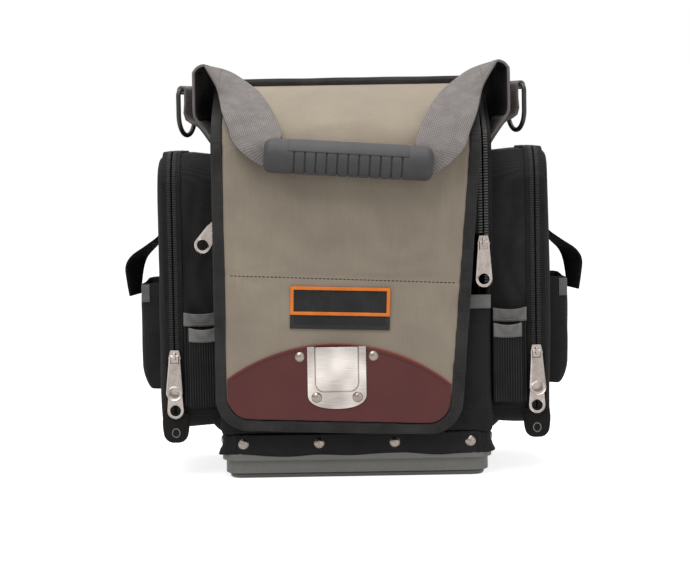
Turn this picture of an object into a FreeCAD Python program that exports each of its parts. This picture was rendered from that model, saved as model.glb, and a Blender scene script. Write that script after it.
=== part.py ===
"""Zippered tool bag on a moulded base, as a parametric FreeCAD document.

Millimetres, +Z up, the front of the bag faces -Y and the origin is the middle of the base's underside.
The bag has two bays on each side of a centre panel. A padded canvas flap closes the front bay with two
zips, a ribbed grip hangs from two webbing straps, and each side carries a zipped pocket.
"""
import FreeCAD, Part
import math
import os
import Sketcher

# Driving dimensions, in millimetres and degrees
DRIVING = {
    # Moulded base
    "base_width": 258, "base_depth": 194, "base_height": 25, "base_corner": 20, "base_wall": 3,
    "base_floor": 4, "foot_inset": 7.5, "foot_height": 5, "foot_chamfer": 1.5, "band_inset": 3.5,
    "rim_height": 7.5, "upstand_height": 17, "skirt_thickness": 2, "board_thickness": 3,
    "board_gap": 0.5,
    # Rivets
    "cap_radius": 5, "cap_height": 2.4, "front_rivet_pitch": 72, "side_rivet_pitch": 60,
    # Body panels
    "panel_thickness": 4, "body_depth": 190, "centre_thickness": 6, "front_wall_height": 131,
    "trim_height": 13.5, "trim_thickness": 1.5, "rear_wall_height": 276, "rear_slope_rise": 48,
    # Hood line of the front bay: shoulder centre, slope and hinge
    "shoulder_y": 76, "shoulder_drop": 72, "hood_slope": 25, "hinge_y": 10, "hinge_drop": 5,
    "ridge_height": 382, "ridge_thickness": 11, "ridge_depth": 20, "ridge_overlap": 10,
    # Tool rack inside the front bay
    "rack_width": 220, "rack_height": 158, "rack_depth": 18, "cloth_thickness": 2, "rack_bottom": 42,
    # Zip chains, measured out from the panel that carries them
    "chain_back": 1.8, "chain_thickness": 2.4, "chain_gap": 1.6, "web_thickness": 2,
    "chain_lap": 10, "main_zip_offset": 6.5, "main_zip_bottom": 180, "flap_zip_width": 11.7,
    "flap_zip_bottom": 262, "flap_zip_end": 20, "body_zip_end": 16,
    # Sliders and pulls
    "slider_length": 15, "slider_width": 12, "slider_waist": 8.4, "plate_thickness": 1.2,
    "plate_gap": 0.3, "post_length": 4, "post_width": 1, "lug_width": 2.4, "lug_bar": 1.2,
    "lug_opening": 4.4, "lug_height": 4.5, "lug_drop": 5.5, "pull_length": 44, "pull_head": 10,
    "pull_tail": 15.5, "pull_thickness": 1.6, "pull_hole": 5.2, "pull_eye_width": 7.2,
    "pull_eye_height": 6.5, "pull_bar": 0.9, "pull_clearance": 0.8, "upper_pull_tilt": 17,
    "side_pull_tilt": 35, "right_slider_z": 214, "left_slider_z": 244, "upper_slider_z": 108,
    "slider_stagger": 17,
    # Side pockets
    "pocket_reach": 43, "pocket_depth": 152, "pocket_bottom": 48, "pocket_height": 260,
    "pocket_crown": 30, "pocket_foot": 8, "pocket_wall": 3, "cover_thickness": 14.5, "cover_gap": 0.5,
    "cover_round": 6, "pocket_tape": 7, "pocket_zip_lift": 12, "tail_width": 24, "tail_height": 24,
    "tail_thickness": 1.6, "tail_drop": 14, "tail_round": 10,
    # Tool sleeves on the fronts of the side pockets
    "sleeve_width": 32.5, "sleeve_inset": 2, "sleeve_depth": 11, "sleeve_bottom": 70, "tall_height": 90,
    "short_height": 76, "short_width": 27,
    # Pouches and their straps on the pocket covers
    "pouch_width": 90, "pouch_depth": 24, "pouch_bottom": 82, "pouch_height": 104, "pouch_wall": 2.5,
    "pouch_round": 7, "tab_width": 38, "tab_thickness": 2.5, "tab_top": 240, "tab_bottom": 170,
    "tab_stand": 4.5, "tab_sewn": 12, "tab_slope": 28, "tab_gap": 0.6,
    # Carrying straps, anchors and rings
    "strap_width": 50, "strap_thickness": 3, "anchor_rise": 0.5, "anchor_sewn": 6, "anchor_y": 36,
    "arch_reach": 21, "arch_knee": 346, "arch_shoulder": 386, "arch_radius": 10, "strap_gap": 0.6, "ring_wire": 2.3,
    "ring_width": 38, "ring_drop": 43, "ring_corner": 6, "ring_play": 0.25, "ring_reach": 30.5,
    "ring_height": 371, "ring_yaw": 20, "loop_width": 24, "loop_thickness": 2, "loop_length": 26,
    # Grip
    "grip_length": 157, "grip_radius": 16, "grip_end_round": 7, "grip_y": 131, "grip_z": 303,
    "grip_shift": 4, "grip_tilt": 4, "rib_groove": 1.6, "rib_depth": 1.4, "rib_pitch": 10,
    "strap_entry": 9, "strap_neck": 26,
    # Flap, seen from the front, hanging a little askew
    "flap_stand": 11, "flap_thickness": 6, "flap_left": 133, "flap_right_top": 120.5, "flap_right_foot": 98.5,
    "flap_left_foot": 49, "flap_foot_drop": 8, "flap_corner": 33, "binding_width": 11,
    "binding_proud": 1, "bead_radius": 3.3, "binding_end": 16,
    # Pieces sewn and riveted on the flap
    "leather_thickness": 2, "leather_side": 38, "leather_rise": 36, "leather_gap": 0.4,
    "clip_width": 55.5, "clip_height": 59, "clip_shift": 18, "clip_bottom": 68.5, "clip_sheet": 1.2,
    "clip_pan_width": 42, "clip_pan_depth": 4.8, "clip_pan_foot": 11, "clip_round": 9, "clip_sag": 5,
    "clip_rivet_inset": 8.5, "clip_rivet_rise": 11, "leather_rivet_pitch": 69, "leather_rivet_height": 118,
    "label_width": 94, "label_height": 40, "label_thickness": 1.4, "label_bottom": 143.5,
    "label_shift": 14, "label_border": 4, "label_recess": 0.5,
    # One overrun for every cut
    "overrun": 20,
}

GRIP_RIBS = 11
RACK_WEBS = 5
SIDE_RIVETS = 3
FRONT_RIVETS = 4
# Stations of a carrying strap from its arch to the grip: shares of the way in X, Y and Z,
# the direction of the webbing's width and the share of its full width
STRAP_STATION_SHARES = (
    (0.0, 0.0, 0.0, (0.0, 1.0, 0.0), 1.0),
    (0.245, 0.19, 0.15, (0.19, 0.94, 0.29), 1.0),
    (0.39, 0.32, 0.28, (0.44, 0.82, 0.36), 1.0),
    (0.563, 0.62, 0.459, (0.80, 0.49, 0.35), 0.94),
    (0.69, 0.80, 0.638, (0.965, 0.18, 0.19), 0.93),
    (0.764, 0.926, 0.791, (0.98, 0.0, 0.18), 0.93),
    (0.84, 0.984, 0.88, (0.93, 0.0, 0.36), 0.80),
)

doc = FreeCAD.newDocument("tool_bag")


class Size:
    """A length or angle that carries its value and the cell formula that gives it."""

    def __init__(self, value, formula):
        self.value = float(value)
        self.formula = formula

    def __add__(self, other):
        other = as_size(other)
        return Size(self.value + other.value, f"({self.formula} + {other.formula})")

    def __radd__(self, other):
        return as_size(other) + self

    def __sub__(self, other):
        other = as_size(other)
        return Size(self.value - other.value, f"({self.formula} - {other.formula})")

    def __rsub__(self, other):
        return as_size(other) - self

    def __mul__(self, other):
        other = as_size(other)
        return Size(self.value * other.value, f"({self.formula} * {other.formula})")

    __rmul__ = __mul__

    def __truediv__(self, other):
        other = as_size(other)
        return Size(self.value / other.value, f"({self.formula} / {other.formula})")

    def __neg__(self):
        return Size(-self.value, f"(0 - {self.formula})")


def as_size(number):
    """Gives a plain number the form of a Size."""
    if isinstance(number, Size):
        return number
    return Size(number, f"({float(number)})")


def sine(angle):
    return Size(math.sin(math.radians(angle.value)), f"sin({angle.formula} * 1 deg)")


def cosine(angle):
    return Size(math.cos(math.radians(angle.value)), f"cos({angle.formula} * 1 deg)")


class DrivingSheet:
    """The spreadsheet of driving dimensions, read as attributes."""

    def __init__(self, values):
        self.sheet = doc.addObject("Spreadsheet::Sheet", "sizes")
        for row, (alias, number) in enumerate(values.items(), start=1):
            self.sheet.set(f"A{row}", alias)
            self.sheet.set(f"B{row}", str(number))
            self.sheet.setAlias(f"B{row}", alias)
        doc.recompute()

    def __getattr__(self, alias):
        return Size(self.sheet.get(alias), f"sizes.{alias}")


S = DrivingSheet(DRIVING)
PARTS = []

# Lines that many pieces share
HALF_WIDTH = S.base_width / 2
HALF_DEPTH = S.base_depth / 2
BASE_TOP = S.base_height + S.upstand_height
PANEL_INNER = HALF_WIDTH - S.panel_thickness
FACE = S.body_depth / 2
PANEL_RADIUS = FACE - S.shoulder_y
SHOULDER_Z = S.ridge_height - S.shoulder_drop
HINGE_Z = S.ridge_height - S.hinge_drop
CHAIN_RADIUS = PANEL_RADIUS + S.chain_back
CHAIN_FRONT = CHAIN_RADIUS + S.chain_thickness
FLAP_BACK = PANEL_RADIUS + S.flap_stand
FLAP_FRONT = FLAP_BACK + S.flap_thickness
FLAP_FACE = S.shoulder_y + FLAP_FRONT
MAIN_ZIP = HALF_WIDTH - S.main_zip_offset
POCKET_OUT = HALF_WIDTH + S.pocket_reach
POCKET_FRONT = S.pocket_depth / 2
POCKET_ZIP = POCKET_OUT + S.cover_gap * 2
COVER_IN = POCKET_OUT + S.cover_gap
COVER_OUT = COVER_IN + S.cover_thickness
POCKET_TOP = S.pocket_bottom + S.pocket_height
SLOPE_SINE = sine(S.hood_slope)
SLOPE_COSINE = cosine(S.hood_slope)


def bind(thing, prop, amount):
    thing.setExpression(prop, as_size(amount).formula)


def keep(thing, label):
    """Names a finished sub-part, which is written out under that name."""
    thing.Label = label
    PARTS.append(thing)
    return thing


def new_body(name):
    return doc.addObject("PartDesign::Body", name)


def sketch_on(body, plane, offset=0):
    """Adds a sketch on one of the body's own planes, moved along that plane's normal."""
    sketch = body.newObject("Sketcher::SketchObject", "outline")
    support = next(item for item in body.Origin.OriginFeatures if item.Role == plane)
    sketch.AttachmentSupport = [(support, "")]
    sketch.MapMode = "FlatFace"
    bind(sketch, "AttachmentOffset.Base.z", offset)
    return sketch


def tie(sketch, kind, *where, amount):
    """Adds one constraint whose amount follows the sheet."""
    number = sketch.addConstraint(Sketcher.Constraint(kind, *where, amount.value))
    sketch.setExpression(f"Constraints[{number}]", amount.formula)


def arc_between(start, end, radius):
    """The shorter arc from start to end, counter-clockwise when the radius is positive."""
    if radius < 0:
        start, end = end, start
    chord = end - start
    middle = (start + end) / 2
    reach = math.sqrt(max(radius * radius - chord.Length ** 2 / 4, 0))
    left = FreeCAD.Vector(-chord.y, chord.x, 0).normalize()
    centre = middle + left * reach
    first = math.atan2(start.y - centre.y, start.x - centre.x)
    last = math.atan2(end.y - centre.y, end.x - centre.x)
    if last < first:
        last += math.tau
    circle = Part.Circle(centre, FreeCAD.Vector(0, 0, 1), abs(radius))
    return Part.ArcOfCircle(circle, first, last)


def draw(sketch, points):
    """Draws a closed outline. A third entry in a point is the radius of the arc that leads to it."""
    corners = [(as_size(point[0]), as_size(point[1])) for point in points]
    radii = [as_size(point[2]) if len(point) > 2 else None for point in points]
    spots = [FreeCAD.Vector(across.value, along.value, 0) for across, along in corners]
    ends = []
    for number, spot in enumerate(spots):
        radius = radii[number]
        before = spots[number - 1]
        if radius is None:
            edge = sketch.addGeometry(Part.LineSegment(before, spot), False)
            ends.append((edge, 1, 2))
        else:
            edge = sketch.addGeometry(arc_between(before, spot, radius.value), False)
            ends.append((edge, 1, 2) if radius.value > 0 else (edge, 2, 1))
    for number, (edge, first, last) in enumerate(ends):
        following, start, _ = ends[(number + 1) % len(ends)]
        sketch.addConstraint(Sketcher.Constraint("Coincident", edge, last, following, start))
        across, along = corners[number]
        tie(sketch, "DistanceX", -1, 1, edge, last, amount=across)
        tie(sketch, "DistanceY", -1, 1, edge, last, amount=along)
        if radii[number] is not None:
            radius = radii[number]
            tie(sketch, "Radius", edge, amount=radius if radius.value > 0 else -radius)


def draw_circle(sketch, across, along, radius):
    across, along, radius = as_size(across), as_size(along), as_size(radius)
    centre = FreeCAD.Vector(across.value, along.value, 0)
    edge = sketch.addGeometry(Part.Circle(centre, FreeCAD.Vector(0, 0, 1), radius.value), False)
    tie(sketch, "DistanceX", -1, 1, edge, 3, amount=across)
    tie(sketch, "DistanceY", -1, 1, edge, 3, amount=along)
    tie(sketch, "Radius", edge, amount=radius)


def rectangle(left, low, right, high):
    return [(left, low), (right, low), (right, high), (left, high)]


def rounded(half_across, half_along, radius, middle=0):
    """Outline of a rectangle with round corners, centred across and at the given middle along."""
    left, right = -as_size(half_across), as_size(half_across)
    low, high = middle - as_size(half_along), middle + as_size(half_along)
    return [
        (left + radius, low, radius), (right - radius, low), (right, low + radius, radius),
        (right, high - radius), (right - radius, high, radius), (left + radius, high),
        (left, high - radius, radius), (left, low + radius),
    ]


def add_feature(body, kind, sketch, length, backwards=False, both=False):
    """Pads or pockets a sketch by a bound length, one way or evenly both ways."""
    feature = body.newObject(f"PartDesign::{kind}", kind.lower())
    feature.Profile = sketch
    bind(feature, "Length", length)
    feature.Reversed = backwards
    if both:
        feature.SideType = "Symmetric"
    sketch.Visibility = False
    doc.recompute()
    return feature


def pad(body, plane, points, length, offset=0, backwards=False, both=False, hole=None):
    sketch = sketch_on(body, plane, offset)
    draw(sketch, points)
    if hole:
        draw(sketch, hole)
    return add_feature(body, "Pad", sketch, length, backwards, both)


def pocket(body, plane, points, length, offset=0, backwards=False, both=False, hole=None):
    """Cuts an outline out of the body, and stops if the cut removes nothing."""
    before = body.Shape.Volume
    sketch = sketch_on(body, plane, offset)
    draw(sketch, points)
    if hole:
        draw(sketch, hole)
    feature = add_feature(body, "Pocket", sketch, length, backwards, both)
    if body.Shape.Volume >= before:
        raise RuntimeError(f"{body.Name}: a pocket cut nothing")
    return feature


def round_edges(body, radius, chosen, kind="Fillet"):
    """Rounds or chamfers those edges of the body's last feature that the test chooses."""
    last = body.Tip
    names = [f"Edge{n}" for n, edge in enumerate(last.Shape.Edges, start=1) if chosen(edge)]
    feature = body.newObject(f"PartDesign::{kind}", kind.lower())
    feature.Base = (last, names)
    bind(feature, "Radius" if kind == "Fillet" else "Size", radius)
    doc.recompute()
    return feature


def runs_along(edge, axis):
    """Whether an edge is straight and parallel to an axis vector."""
    if not isinstance(edge.Curve, Part.Line):
        return False
    return abs(abs(edge.Curve.Direction.dot(axis)) - 1) < 1e-6


def box(name, low, high):
    """A plain sheet or block between two corners."""
    block = doc.addObject("Part::Box", name)
    for prop, start, end in zip(("Length", "Width", "Height"), low, high):
        bind(block, prop, as_size(end) - start)
    for letter, start in zip("xyz", low):
        bind(block, f"Placement.Base.{letter}", start)
    return block


def group(label, things):
    """Several solids that make one sub-part."""
    together = doc.addObject("Part::Compound", label)
    together.Links = things
    doc.recompute()
    return keep(together, label)


def mirror(thing, label):
    """The left-hand twin of a right-hand piece."""
    twin = doc.addObject("Part::Mirroring", label)
    twin.Source = thing
    twin.Normal = FreeCAD.Vector(1, 0, 0)
    doc.recompute()
    return twin


def keep_pair(thing, name):
    """Keeps a right-hand piece and its left-hand twin."""
    keep(thing, f"right_{name}")
    return keep(mirror(thing, f"left_{name}"), f"left_{name}")


def place(thing, spot, axis=None, angle=0):
    """Binds a piece's place, and its turn about one axis."""
    if axis is not None:
        thing.Placement = FreeCAD.Placement(FreeCAD.Vector(), FreeCAD.Rotation(axis, 1))
        bind(thing, "Placement.Rotation.Angle", angle)
    for letter, amount in zip("xyz", spot):
        bind(thing, f"Placement.Base.{letter}", amount)
    doc.recompute()
    return thing


AXIS_X = FreeCAD.Vector(1, 0, 0)
AXIS_Y = FreeCAD.Vector(0, 1, 0)
AXIS_Z = FreeCAD.Vector(0, 0, 1)


def hood_height(radius, depth):
    """Height of the hood line of one radius at a distance in front of the centre panel."""
    return SHOULDER_Z + (radius + (S.shoulder_y - depth) * SLOPE_SINE) / SLOPE_COSINE


def hood_band(inner, outer, bottom, end):
    """Side outline of a layer that rises up the front, bends at the shoulder and climbs to the ridge."""
    centre = -S.shoulder_y
    return [
        (centre - outer, bottom), (centre - inner, bottom), (centre - inner, SHOULDER_Z),
        (centre - inner * SLOPE_SINE, SHOULDER_Z + inner * SLOPE_COSINE, -inner),
        (-end, hood_height(inner, end)), (-end, hood_height(outer, end)),
        (centre - outer * SLOPE_SINE, SHOULDER_Z + outer * SLOPE_COSINE),
        (centre - outer, SHOULDER_Z, outer),
    ]


# Base, skirt and rivets
def build_base():
    tray = new_body("tray")
    foot_corner = S.base_corner - S.foot_inset
    foot = rounded(HALF_WIDTH - S.foot_inset, HALF_DEPTH - S.foot_inset, foot_corner)
    pad(tray, "XY_Plane", foot, S.foot_height)
    round_edges(tray, S.foot_chamfer, lambda edge: edge.BoundBox.ZMax < S.foot_height.value / 2, "Chamfer")
    band = rounded(HALF_WIDTH - S.band_inset, HALF_DEPTH - S.band_inset, S.base_corner - S.band_inset)
    pad(tray, "XY_Plane", band, S.base_height - S.foot_height - S.rim_height, S.foot_height)
    rim = rounded(HALF_WIDTH, HALF_DEPTH, S.base_corner)
    pad(tray, "XY_Plane", rim, S.rim_height, S.base_height - S.rim_height)
    upstand = rounded(HALF_WIDTH - S.skirt_thickness, HALF_DEPTH - S.skirt_thickness,
                      S.base_corner - S.skirt_thickness)
    pad(tray, "XY_Plane", upstand, S.upstand_height, S.base_height)
    inset = S.skirt_thickness + S.base_wall
    well = rounded(HALF_WIDTH - inset, HALF_DEPTH - inset, S.base_corner - inset)
    pocket(tray, "XY_Plane", well, BASE_TOP - S.base_floor, BASE_TOP)
    keep(tray, "base_tray")

    skirt = new_body("skirt")
    pad(skirt, "XY_Plane", rim, S.upstand_height, S.base_height, hole=upstand)
    keep(skirt, "base_skirt")

    board = new_body("board")
    inset = inset + S.board_gap
    sheet = rounded(HALF_WIDTH - inset, HALF_DEPTH - inset, S.base_corner - inset)
    pad(board, "XY_Plane", sheet, S.board_thickness, S.base_floor)
    keep(board, "floor_board")


def rivet_cap(spot, outward):
    """A domed rivet cap seated at a spot, facing outward."""
    reach, height = S.cap_radius.value, S.cap_height.value
    ball = (reach * reach + height * height) / (2 * height)
    flat = math.degrees(math.asin((ball - height) / ball))
    dome = Part.makeSphere(ball, FreeCAD.Vector(0, 0, height - ball), AXIS_Z, flat, 90, 360)
    turn = FreeCAD.Rotation(AXIS_Z, outward)
    dome.Placement = FreeCAD.Placement(spot, turn)
    return dome


def build_base_rivets():
    caps = []
    height = S.base_height.value + S.upstand_height.value / 2
    for number in range(FRONT_RIVETS):
        across = (number - (FRONT_RIVETS - 1) / 2) * S.front_rivet_pitch.value
        for facing in (-AXIS_Y, AXIS_Y):
            caps.append(rivet_cap(FreeCAD.Vector(across, facing.y * HALF_DEPTH.value, height), facing))
    for number in range(SIDE_RIVETS):
        along = (number - (SIDE_RIVETS - 1) / 2) * S.side_rivet_pitch.value
        for facing in (-AXIS_X, AXIS_X):
            caps.append(rivet_cap(FreeCAD.Vector(facing.x * HALF_WIDTH.value, along, height), facing))
    rivets = doc.addObject("Part::Feature", "base_rivets")
    rivets.Shape = Part.makeCompound(caps)
    keep(rivets, "base_rivets")


# Body panels
def build_panels():
    side = new_body("side")
    outline = [
        (FACE, BASE_TOP), (FACE, BASE_TOP + S.rear_wall_height),
        (0, hood_height(PANEL_RADIUS, 0)),
        (-S.shoulder_y - PANEL_RADIUS * SLOPE_SINE, SHOULDER_Z + PANEL_RADIUS * SLOPE_COSINE),
        (-FACE, SHOULDER_Z, PANEL_RADIUS), (-FACE, BASE_TOP),
    ]
    pad(side, "YZ_Plane", outline, S.panel_thickness, PANEL_INNER)
    keep_pair(side, "side_panel")

    front_top = BASE_TOP + S.front_wall_height
    front = box("front", (-PANEL_INNER, -FACE, BASE_TOP), (PANEL_INNER, S.panel_thickness - FACE, front_top))
    keep(front, "front_wall")
    band = box("band", (-HALF_WIDTH, -FACE - S.trim_thickness, front_top - S.trim_height),
               (HALF_WIDTH, -FACE, front_top))
    keep(band, "front_wall_trim")
    rear_top = BASE_TOP + S.rear_wall_height
    rear = box("rear", (-PANEL_INNER, FACE - S.panel_thickness, BASE_TOP), (PANEL_INNER, FACE, rear_top))
    keep(rear, "rear_wall")

    half = S.centre_thickness / 2
    centre_top = S.ridge_height - S.ridge_overlap
    centre_low = S.base_floor + S.board_thickness
    well = HALF_WIDTH - S.skirt_thickness - S.base_wall - S.board_gap
    centre = box("centre", (-well, -half, centre_low), (well, half, centre_top))
    keep(centre, "centre_panel")

    ridge = new_body("ridge")
    lip = S.ridge_thickness / 2
    foot = S.ridge_height - S.ridge_depth
    outline = [
        (-half, foot), (-half, centre_top), (half, centre_top), (half, foot), (lip, foot),
        (lip, S.ridge_height - lip), (0, S.ridge_height, lip), (-lip, S.ridge_height - lip, lip),
        (-lip, foot),
    ]
    pad(ridge, "YZ_Plane", outline, well * 2, both=True)
    keep(ridge, "ridge_binding")


def build_rack():
    """Row of open tool slots sewn to the front of the centre panel."""
    back = -S.centre_thickness / 2
    front = back - S.rack_depth
    half = S.rack_width / 2
    top = S.rack_bottom + S.rack_height
    sheets = [box("rack_front", (-half, front - S.cloth_thickness, S.rack_bottom), (half, front, top))]
    pitch = (S.rack_width - S.cloth_thickness) / (RACK_WEBS - 1)
    for number in range(RACK_WEBS):
        left = pitch * number - half
        sheets.append(box("rack_web", (left, front, S.rack_bottom), (left + S.cloth_thickness, back, top)))
    under = S.rack_bottom - S.cloth_thickness
    sheets.append(box("rack_floor", (-half, front - S.cloth_thickness, under), (half, back, S.rack_bottom)))
    group("tool_rack", sheets)


# Side pockets, right hand first
def pocket_outline(grow, radius_grow=None):
    """Side outline of a pocket, grown outwards by an amount."""
    grow = as_size(grow)
    crown = S.pocket_crown + grow
    foot = S.pocket_foot + (grow if radius_grow is None else radius_grow)
    half = POCKET_FRONT + grow
    low, high = S.pocket_bottom - grow, POCKET_TOP + grow
    return [
        (foot - half, low, foot), (half - foot, low), (half, low + foot, foot), (half, high - crown),
        (half - crown, high, crown), (crown - half, high), (-half, high - crown, crown), (-half, low + foot),
    ]


def zip_arch(inner, outer):
    """Side outline of a zip ribbon that runs up the front of a pocket, over its top and down the back."""
    low = S.pocket_bottom + S.pocket_zip_lift
    inside, outside = POCKET_FRONT + inner, POCKET_FRONT + outer
    crown_in, crown_out = S.pocket_crown + inner, S.pocket_crown + outer
    spring = POCKET_TOP - S.pocket_crown
    flat = POCKET_FRONT - S.pocket_crown
    return [
        (-outside, low), (-inside, low), (-inside, spring), (-flat, spring + crown_in, -crown_in),
        (flat, spring + crown_in), (inside, spring, -crown_in), (inside, low), (outside, low),
        (outside, spring), (flat, spring + crown_out, crown_out), (-flat, spring + crown_out),
        (-outside, spring, crown_out),
    ]


def build_pockets():
    gusset = new_body("gusset")
    pad(gusset, "YZ_Plane", pocket_outline(0), S.pocket_reach, HALF_WIDTH, hole=pocket_outline(-S.pocket_wall))
    keep_pair(gusset, "pocket_gusset")

    cover = new_body("cover")
    pad(cover, "YZ_Plane", pocket_outline(0), S.cover_thickness, COVER_IN)
    outer = COVER_OUT.value
    round_edges(cover, S.cover_round, lambda edge: edge.BoundBox.XMin > outer - S.overrun.value / 1000)
    keep_pair(cover, "pocket_cover")

    front = S.chain_back + S.chain_thickness
    ribbon = zip_arch(S.chain_back, front)
    web = zip_arch(0, front)
    half_gap = S.chain_gap / 2
    fixed = new_body("fixed_zip")
    web_in = POCKET_ZIP - S.pocket_tape - S.web_thickness
    pad(fixed, "YZ_Plane", web, S.web_thickness, web_in)
    pad(fixed, "YZ_Plane", ribbon, S.pocket_tape - half_gap, POCKET_ZIP - S.pocket_tape)

    moving = new_body("cover_zip")
    pad(moving, "YZ_Plane", web, S.web_thickness, POCKET_ZIP + S.pocket_tape)
    pad(moving, "YZ_Plane", ribbon, S.pocket_tape - half_gap, POCKET_ZIP + half_gap)
    keep_pair(moving, "cover_zip")

    middle = POCKET_ZIP
    low = S.pocket_bottom - S.tail_drop
    half = S.tail_width / 2
    strip = rectangle(middle - S.pocket_tape, low + S.tail_round * 2, middle - half_gap,
                      S.pocket_bottom + S.pocket_zip_lift)
    pad(fixed, "XZ_Plane", strip, S.chain_thickness, POCKET_FRONT + S.chain_back)
    plate = [
        (middle - half + S.tail_round, low, S.tail_round), (middle + half - S.tail_round, low),
        (middle + half, low + S.tail_round, S.tail_round), (middle + half, low + S.tail_height),
        (middle - half, low + S.tail_height), (middle - half, low + S.tail_round),
    ]
    pad(fixed, "XZ_Plane", plate, S.tail_thickness, POCKET_FRONT + front)
    keep_pair(fixed, "pocket_zip_body")


def build_sleeves():
    """Open tool sleeves sewn on a pocket's front, a tall one and a short one before it."""
    left = HALF_WIDTH + S.sleeve_inset
    back = POCKET_FRONT
    trims = []
    for name, width, height in (("tall", S.sleeve_width, S.tall_height), ("short", S.short_width, S.short_height)):
        sleeve = new_body(f"{name}_sleeve")
        front = back + S.sleeve_depth
        right = left + width
        top = S.sleeve_bottom + height
        pad(sleeve, "XY_Plane", rectangle(left, -front, right, -back), height, S.sleeve_bottom)
        wall = S.cloth_thickness
        hollow = rectangle(left + wall, wall - front, right - wall, S.overrun - back)
        pocket(sleeve, "XY_Plane", hollow, height - wall, top)
        keep_pair(sleeve, f"{name}_tool_sleeve")
        trims.append(box(f"{name}_trim", (left, -front - S.trim_thickness, top - S.trim_height),
                         (right, -front, top)))
        back = front
    trim = doc.addObject("Part::Compound", "sleeve_trim")
    trim.Links = trims
    doc.recompute()
    keep_pair(trim, "sleeve_trim")


def build_pouches():
    """Open pouches on the pocket covers, and the webbing tabs that close over them."""
    pouch = new_body("pouch")
    half = S.pouch_width / 2
    outer = COVER_OUT + S.pouch_depth
    pad(pouch, "XY_Plane", rectangle(COVER_OUT, -half, outer, half), S.pouch_height, S.pouch_bottom)
    far = outer.value - S.pouch_wall.value
    round_edges(pouch, S.pouch_round, lambda edge: runs_along(edge, AXIS_Z) and edge.BoundBox.XMin > far)
    wall = S.pouch_wall
    hollow = rectangle(COVER_OUT - S.overrun, wall - half, outer - wall, half - wall)
    pocket(pouch, "XY_Plane", hollow, S.pouch_height - wall, S.pouch_bottom + S.pouch_height)
    keep_pair(pouch, "pouch")

    tab = new_body("tab")
    root = COVER_OUT + S.tab_gap
    face = outer + S.tab_stand
    sewn = S.tab_top - S.tab_sewn
    knee = sewn - S.tab_slope
    thick = S.tab_thickness
    outline = [
        (root, S.tab_top), (root, sewn), (face, knee), (face, S.tab_bottom), (face + thick, S.tab_bottom),
        (face + thick, knee + thick), (root + thick, sewn + thick), (root + thick, S.tab_top),
    ]
    pad(tab, "XZ_Plane", outline, S.tab_width, both=True)
    keep_pair(tab, "pouch_strap")


# Zips of the front flap
def build_main_zips():
    half_gap = S.chain_gap / 2
    body_side = new_body("body_side")
    bottom = S.main_zip_bottom
    end = S.body_zip_end
    ribbon = hood_band(CHAIN_RADIUS, CHAIN_FRONT, bottom, end)
    pad(body_side, "YZ_Plane", ribbon, HALF_WIDTH - MAIN_ZIP - half_gap, MAIN_ZIP + half_gap)
    lap = hood_band(PANEL_RADIUS - S.chain_lap, CHAIN_FRONT, bottom, end)
    pad(body_side, "YZ_Plane", lap, S.web_thickness, HALF_WIDTH)
    group("front_zip_body_side", [body_side, mirror(body_side, "body_side_twin")])

    flap_side = new_body("flap_side")
    inner_edge = MAIN_ZIP - half_gap - S.flap_zip_width
    ribbon = hood_band(CHAIN_RADIUS, CHAIN_FRONT, S.flap_zip_bottom, S.flap_zip_end)
    pad(flap_side, "YZ_Plane", ribbon, S.flap_zip_width, inner_edge)
    web = hood_band(CHAIN_RADIUS, FLAP_BACK, S.flap_zip_bottom, S.flap_zip_end)
    pad(flap_side, "YZ_Plane", web, S.web_thickness, inner_edge - S.web_thickness)
    group("front_zip_flap_side", [flap_side, mirror(flap_side, "flap_side_twin")])


# Sliders and pulls
PLATE_BACK = S.chain_back - S.plate_gap - S.plate_thickness
PLATE_FRONT = S.chain_back + S.chain_thickness + S.plate_gap
LUG_BASE = PLATE_FRONT + S.plate_thickness
PULL_PLANE = LUG_BASE + S.pull_clearance + S.pull_thickness / 2
BAR_HEIGHT = S.slider_length - S.lug_drop


def build_slider(label, spot):
    """A slider whose two plates clasp the chain, with a lug for its pull on the front plate."""
    slider = new_body(label)
    half, waist = S.slider_width / 2, S.slider_waist / 2
    shoulder = S.slider_length / 2
    plate = [(-waist, 0), (waist, 0), (half, shoulder), (waist, S.slider_length),
             (-waist, S.slider_length), (-half, shoulder)]
    pad(slider, "XZ_Plane", plate, S.plate_thickness, PLATE_FRONT)
    post = S.post_width / 2
    column = rectangle(-post, S.slider_length - S.post_length, post, S.slider_length)
    pad(slider, "XZ_Plane", column, PLATE_FRONT - PLATE_BACK, PLATE_BACK)
    pad(slider, "XZ_Plane", plate, S.plate_thickness, PLATE_BACK)
    reach = S.lug_opening / 2 + S.lug_bar
    low, high = BAR_HEIGHT - reach, BAR_HEIGHT + reach
    front = LUG_BASE + S.lug_height
    lug = [
        (-LUG_BASE, low), (-LUG_BASE, low + S.lug_bar), (S.lug_bar - front, low + S.lug_bar),
        (S.lug_bar - front, high - S.lug_bar), (-LUG_BASE, high - S.lug_bar), (-LUG_BASE, high),
        (S.lug_bar - front, high), (-front, high - S.lug_bar, S.lug_bar), (-front, low + S.lug_bar),
        (S.lug_bar - front, low, S.lug_bar),
    ]
    pad(slider, "YZ_Plane", lug, S.lug_width, both=True)
    place(slider, spot)
    return keep(slider, label)


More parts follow.
